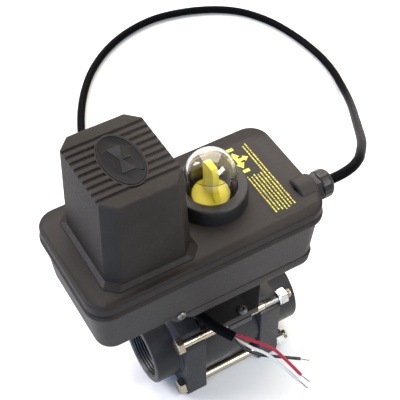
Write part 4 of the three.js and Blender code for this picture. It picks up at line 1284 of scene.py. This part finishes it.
def makeEndCap(side):
    node = "end_cap_right" if side > 0 else "end_cap_left"
    low, high = box(node)
    inner = low.x if side > 0 else high.x
    outer = high.x if side > 0 else low.x
    flangeOut = inner + side * valve["flangeThickness"]
    half, corner = valve["flangeHalf"], valve["flangeCorner"]
    top = 2 * half
    flat = [(-half, 0), (half, 0), (half, top - corner),
            (half - corner, top), (-half + corner, top), (-half, top - corner)]

    def face(x, inset):
        kept = half - inset
        shrunk = [(y * kept / half, valveZ + (z - valveZ) * kept / half) for y, z in flat]
        return [(x, y, z) for y, z in roundedPolygon(shrunk, 0.9)]

    edge = valve["flangeEdge"]
    steps = [(inner, 0.5), (inner + side * 0.5, 0), (flangeOut - side * edge, 0),
             (flangeOut - side * edge * 0.3, edge * 0.3), (flangeOut, edge)]
    cap = loftPiece(node + "Flange", [face(x, inset) for x, inset in steps])
    radius = valve["portOuter"]
    tube = [(0, flangeOut - side), (radius + 1.6, flangeOut - side), (radius + 1.5, flangeOut + side * 0.2),
            (radius + 0.4, flangeOut + side * 1.4), (radius, flangeOut + side * 2.4), (radius, outer - side * 1.6),
            (radius - 0.5, outer - side * 0.5), (radius - 1.4, outer), (0, outer)]
    join(cap, turnedPiece("port", tube, "x", portAxis, 96))
    wide = valve["mouth"]
    flare = [(0, outer + side), (wide + 1, outer + side), (wide, outer), (23.2, outer - side * 2.0),
             (0, outer - side * 2.0)]
    mouth = turnedPiece("mouth", flare, "x", portAxis, 72)
    plug = threadedPlug("plug", "x", portAxis, outer - side * 0.5, outer - side * 26, valve["threadRadius"])
    through = sorted((inner - side, outer))
    waterway = rodPiece("waterway", "x", *through, valve["waterway"], (0, valveZ), 64)
    across = sorted((inner - side, flangeOut + side))
    spots = (-valve["boltSpot"], valve["boltSpot"])
    holes = [rodPiece("boltHole", "x", *across, valve["boltHole"], (y, valveZ + z), 32) for y in spots for z in spots]
    cut(cap, mouth, plug, waterway, *holes)
    softenEdges(cap, 0.3, 2, 52)
    place(cap, "valve", "housing", "valve_plastic", node)


def makeBody():
    low, high = box("valve_body")
    half = (high.x - low.x) / 2
    centre = (stemX, 0, valveZ)
    radius = valve["barrel"]
    barrel = [(0, -half), (34.2, -half), (radius, -half + 0.8), (radius, half - 0.8), (34.2, half), (0, half)]
    body = turnedPiece("bodyBarrel", barrel, "x", centre, 96)
    neck = rodPiece("neck", "z", valveZ, high.z, 18, (stemX, 0), 56)
    pad = blockPiece("pad", (stemX - 10, -47, high.z - 5.5), (stemX + 10, 47, high.z))
    rib = blockPiece("rib", (stemX - 2, -25, valveZ), (stemX + 2, 25, high.z - 4.5))
    tube = [(0, 0), (25, 0), (25, high.y - 6.6), (26.6, high.y - 5.8), (26.6, high.y - 1), (26, high.y), (0, high.y)]
    port = turnedPiece("rear", tube, "y", centre, 80)
    join(body, neck, pad, rib, port)
    chamber = rodPiece("chamber", "x", stemX - half - 1, stemX + half + 1, valve["chamber"], (0, valveZ), 80)
    bore = rodPiece("bore", "y", 0, high.y, valve["ballBore"], (stemX, valveZ), 56)
    pocket = rodPiece("pocket", "y", 0, 32.3, 19, (stemX, valveZ), 64)
    plug = threadedPlug("plug", "y", centre, high.y + 0.5, 36, valve["rearThreadRadius"])
    stemHole = rodPiece("stemHole", "z", valveZ, high.z + 1, valve["stemHole"], (stemX, 0), 40)
    sealLow, sealHigh = box("stem_seal")
    groove = rodPiece("groove", "z", sealLow.z - touchGap, sealHigh.z + touchGap, 11, (stemX, 0), 40)
    screw = middle("plate_screw_rear")
    holes = [rodPiece("hole", "z", high.z - 8, high.z + 1, 2.3, (screw.x, y), 20) for y in (-screw.y, screw.y)]
    rings = []
    for side in (-1, 1):
        mouth, floor = side * half, side * (half - 2.6)
        ring = [(30.4, mouth), (33.6, mouth), (33.6, floor), (30.4, floor)]
        rings.append(turnedPiece("groove", ring, "x", centre, 64, True))
    cut(body, chamber, bore, pocket, plug, stemHole, groove, *holes, *rings)
    softenEdges(body, 0.3, 2, 50)
    place(body, "valve", "housing", "valve_plastic", "valve_body")


# A hexagonal prism along X with its flats level and its outer corners turned off
def hexPrism(name, start, end, across, chamfered=(True, True)):
    corner = across / math.sqrt(3)
    bm = bmesh.new()
    turns = [math.pi / 3 * i + math.pi / 6 for i in range(6)]
    loft(bm, [[(x, corner * math.sin(t), corner * math.cos(t)) for t in turns] for x in (start, end)])
    prism = newObject(name, bm)
    cutters = []
    for x, sign, used in ((start, 1, chamfered[0]), (end, -1, chamfered[1])):
        if used:
            profile = [(across / 2 - 0.3, x - sign), (corner + 1, x - sign), (corner + 1, x + sign * 1.0),
                       (corner, x + sign * 0.75), (across / 2 - 0.3, x)]
            cutters.append(turnedPiece("chamfer", profile, "x", origin, 48, True))
    return cut(prism, *cutters)


def makeBolts():
    spots = [middle(f"tie_nut_{i}") for i in range(1, 5)]
    low, high = box("tie_bolt_1")
    start, end = low.x, high.x
    bolt = hexPrism("head", start, start + 5.2, valve["nutAcross"], (True, False))
    pitch, radius = valve["boltPitch"], valve["boltRadius"]
    shank = [(0, start + 4.6), (radius, start + 4.6), (radius, end - 26)]
    for turn in range(int(25 / pitch)):
        x = end - 25.5 + turn * pitch
        shank += [(radius - 0.55, x + 0.2), (radius, x + pitch * 0.6), (radius, x + pitch * 0.75)]
    shank += [(radius - 0.9, end - 0.2), (radius - 1.2, end), (0, end)]
    join(bolt, turnedPiece("shank", shank, "x", origin, 32))
    points = [(0, spot.y, spot.z) for spot in spots]
    bolts = copiesAt("tieBolts", bolt, points, "rod")
    place(bolts, "rod", "housing", "stainless", *[f"tie_bolt_{i}" for i in range(1, 5)])
    face = box("tie_nut_1")[0].x
    nut = hexPrism("nut", face + 1.3, face + 8, valve["nutAcross"])
    disc = [(0, face), (6.1, face), (6.3, face + 0.2), (6.3, face + 1.1), (6.1, face + 1.3), (0, face + 1.3)]
    join(nut, turnedPiece("washer", disc, "x", origin, 48))
    hole = valve["boltHole"]
    bore = [(0, face - 1), (hole, face - 1), (hole, face + 7), (4.9, face + 8.1), (0, face + 8.1)]
    cut(nut, turnedPiece("bore", bore, "x", origin, 32))
    nuts = copiesAt("tieNuts", nut, points, "bolt")
    place(nuts, "bolt", "housing", "stainless", *[f"tie_nut_{i}" for i in range(1, 5)])


def makeInsides():
    for side, word in ((-1, "left"), (1, "right")):
        low, high = box(f"seat_{word}")
        near, far = (low.x, high.x) if side > 0 else (high.x, low.x)
        inner = valve["waterway"]
        profile = [(inner, near), (19.6, near + side * 0.9), (28.4, near + side * 0.9), (28.7, near + side * 1.4),
                   (28.7, far), (inner, far)]
        seat = turnedPiece(f"seat{word.title()}", profile, "x", portAxis, 72, True)
        place(seat, "seat", "housing", "seat", f"seat_{word}")
        low, high = box(f"cap_seal_{word}")
        mean, thick = (low.x + high.x) / 2, (high.x - low.x) / 2
        turns = [math.pi / 6 * i for i in range(12)]
        loop = [(32 + 1.3 * math.cos(t), mean + thick * math.sin(t)) for t in turns]
        seal = turnedPiece(f"capSeal{word.title()}", loop, "x", portAxis, 80, True)
        place(seal, "rubber", "housing", "rubber", f"cap_seal_{word}")
    radius, bore = valve["ballRadius"], valve["ballBore"]

    def sphereArc(r, steps):
        turns = [math.pi * i / steps for i in range(steps + 1)]
        arc = [(r * math.sin(t), valveZ - r * math.cos(t)) for t in turns]
        arc[0], arc[-1] = (0, valveZ - r), (0, valveZ + r)
        return arc

    ball = turnedPiece("ballBody", sphereArc(radius, 40), "z", stemAxis, 80)
    cut(ball, turnedPiece("elbow", sphereArc(bore, 24), "z", stemAxis, 48),
        rodPiece("bore", "x", stemX, stemX + 40, bore, (0, valveZ), 48),
        rodPiece("bore", "y", 0, 40, bore, (stemX, valveZ), 48),
        blockPiece("slot", (stemX - 3.8, -30, valveZ + radius - 6), (stemX + 3.8, 30, valveZ + radius + 3)))
    place(ball, "ball", "turn", "ball", "valve_ball")


makeEndCap(-1)
makeEndCap(1)
makeBody()
makeBolts()
makeInsides()
print("valve ready")


# Pieces that keep their solids from the frame and only take a finish
keptFinishes = {
    "plateSteel": ("gear_plate", "drive_motor"),
    "shaft": ("output_shaft", "output_gear", "valve_stem"),
    "brass": ("motor_pinion", "idler_gear"),
    "seat": ("switch_cam", "rear_seat"),
    "trim": ("limit_switch_1", "limit_switch_2", "terminal_block"),
    "board": ("control_board",),
    "rubber": ("stem_seal", "gland_seal"),
}
for look, nodes in keptFinishes.items():
    for node in nodes:
        slots = bpy.data.objects[node].material_slots
        if not slots:
            bpy.data.objects[node].data.materials.append(looks[look])
        for entry in slots:
            entry.material = looks[look]
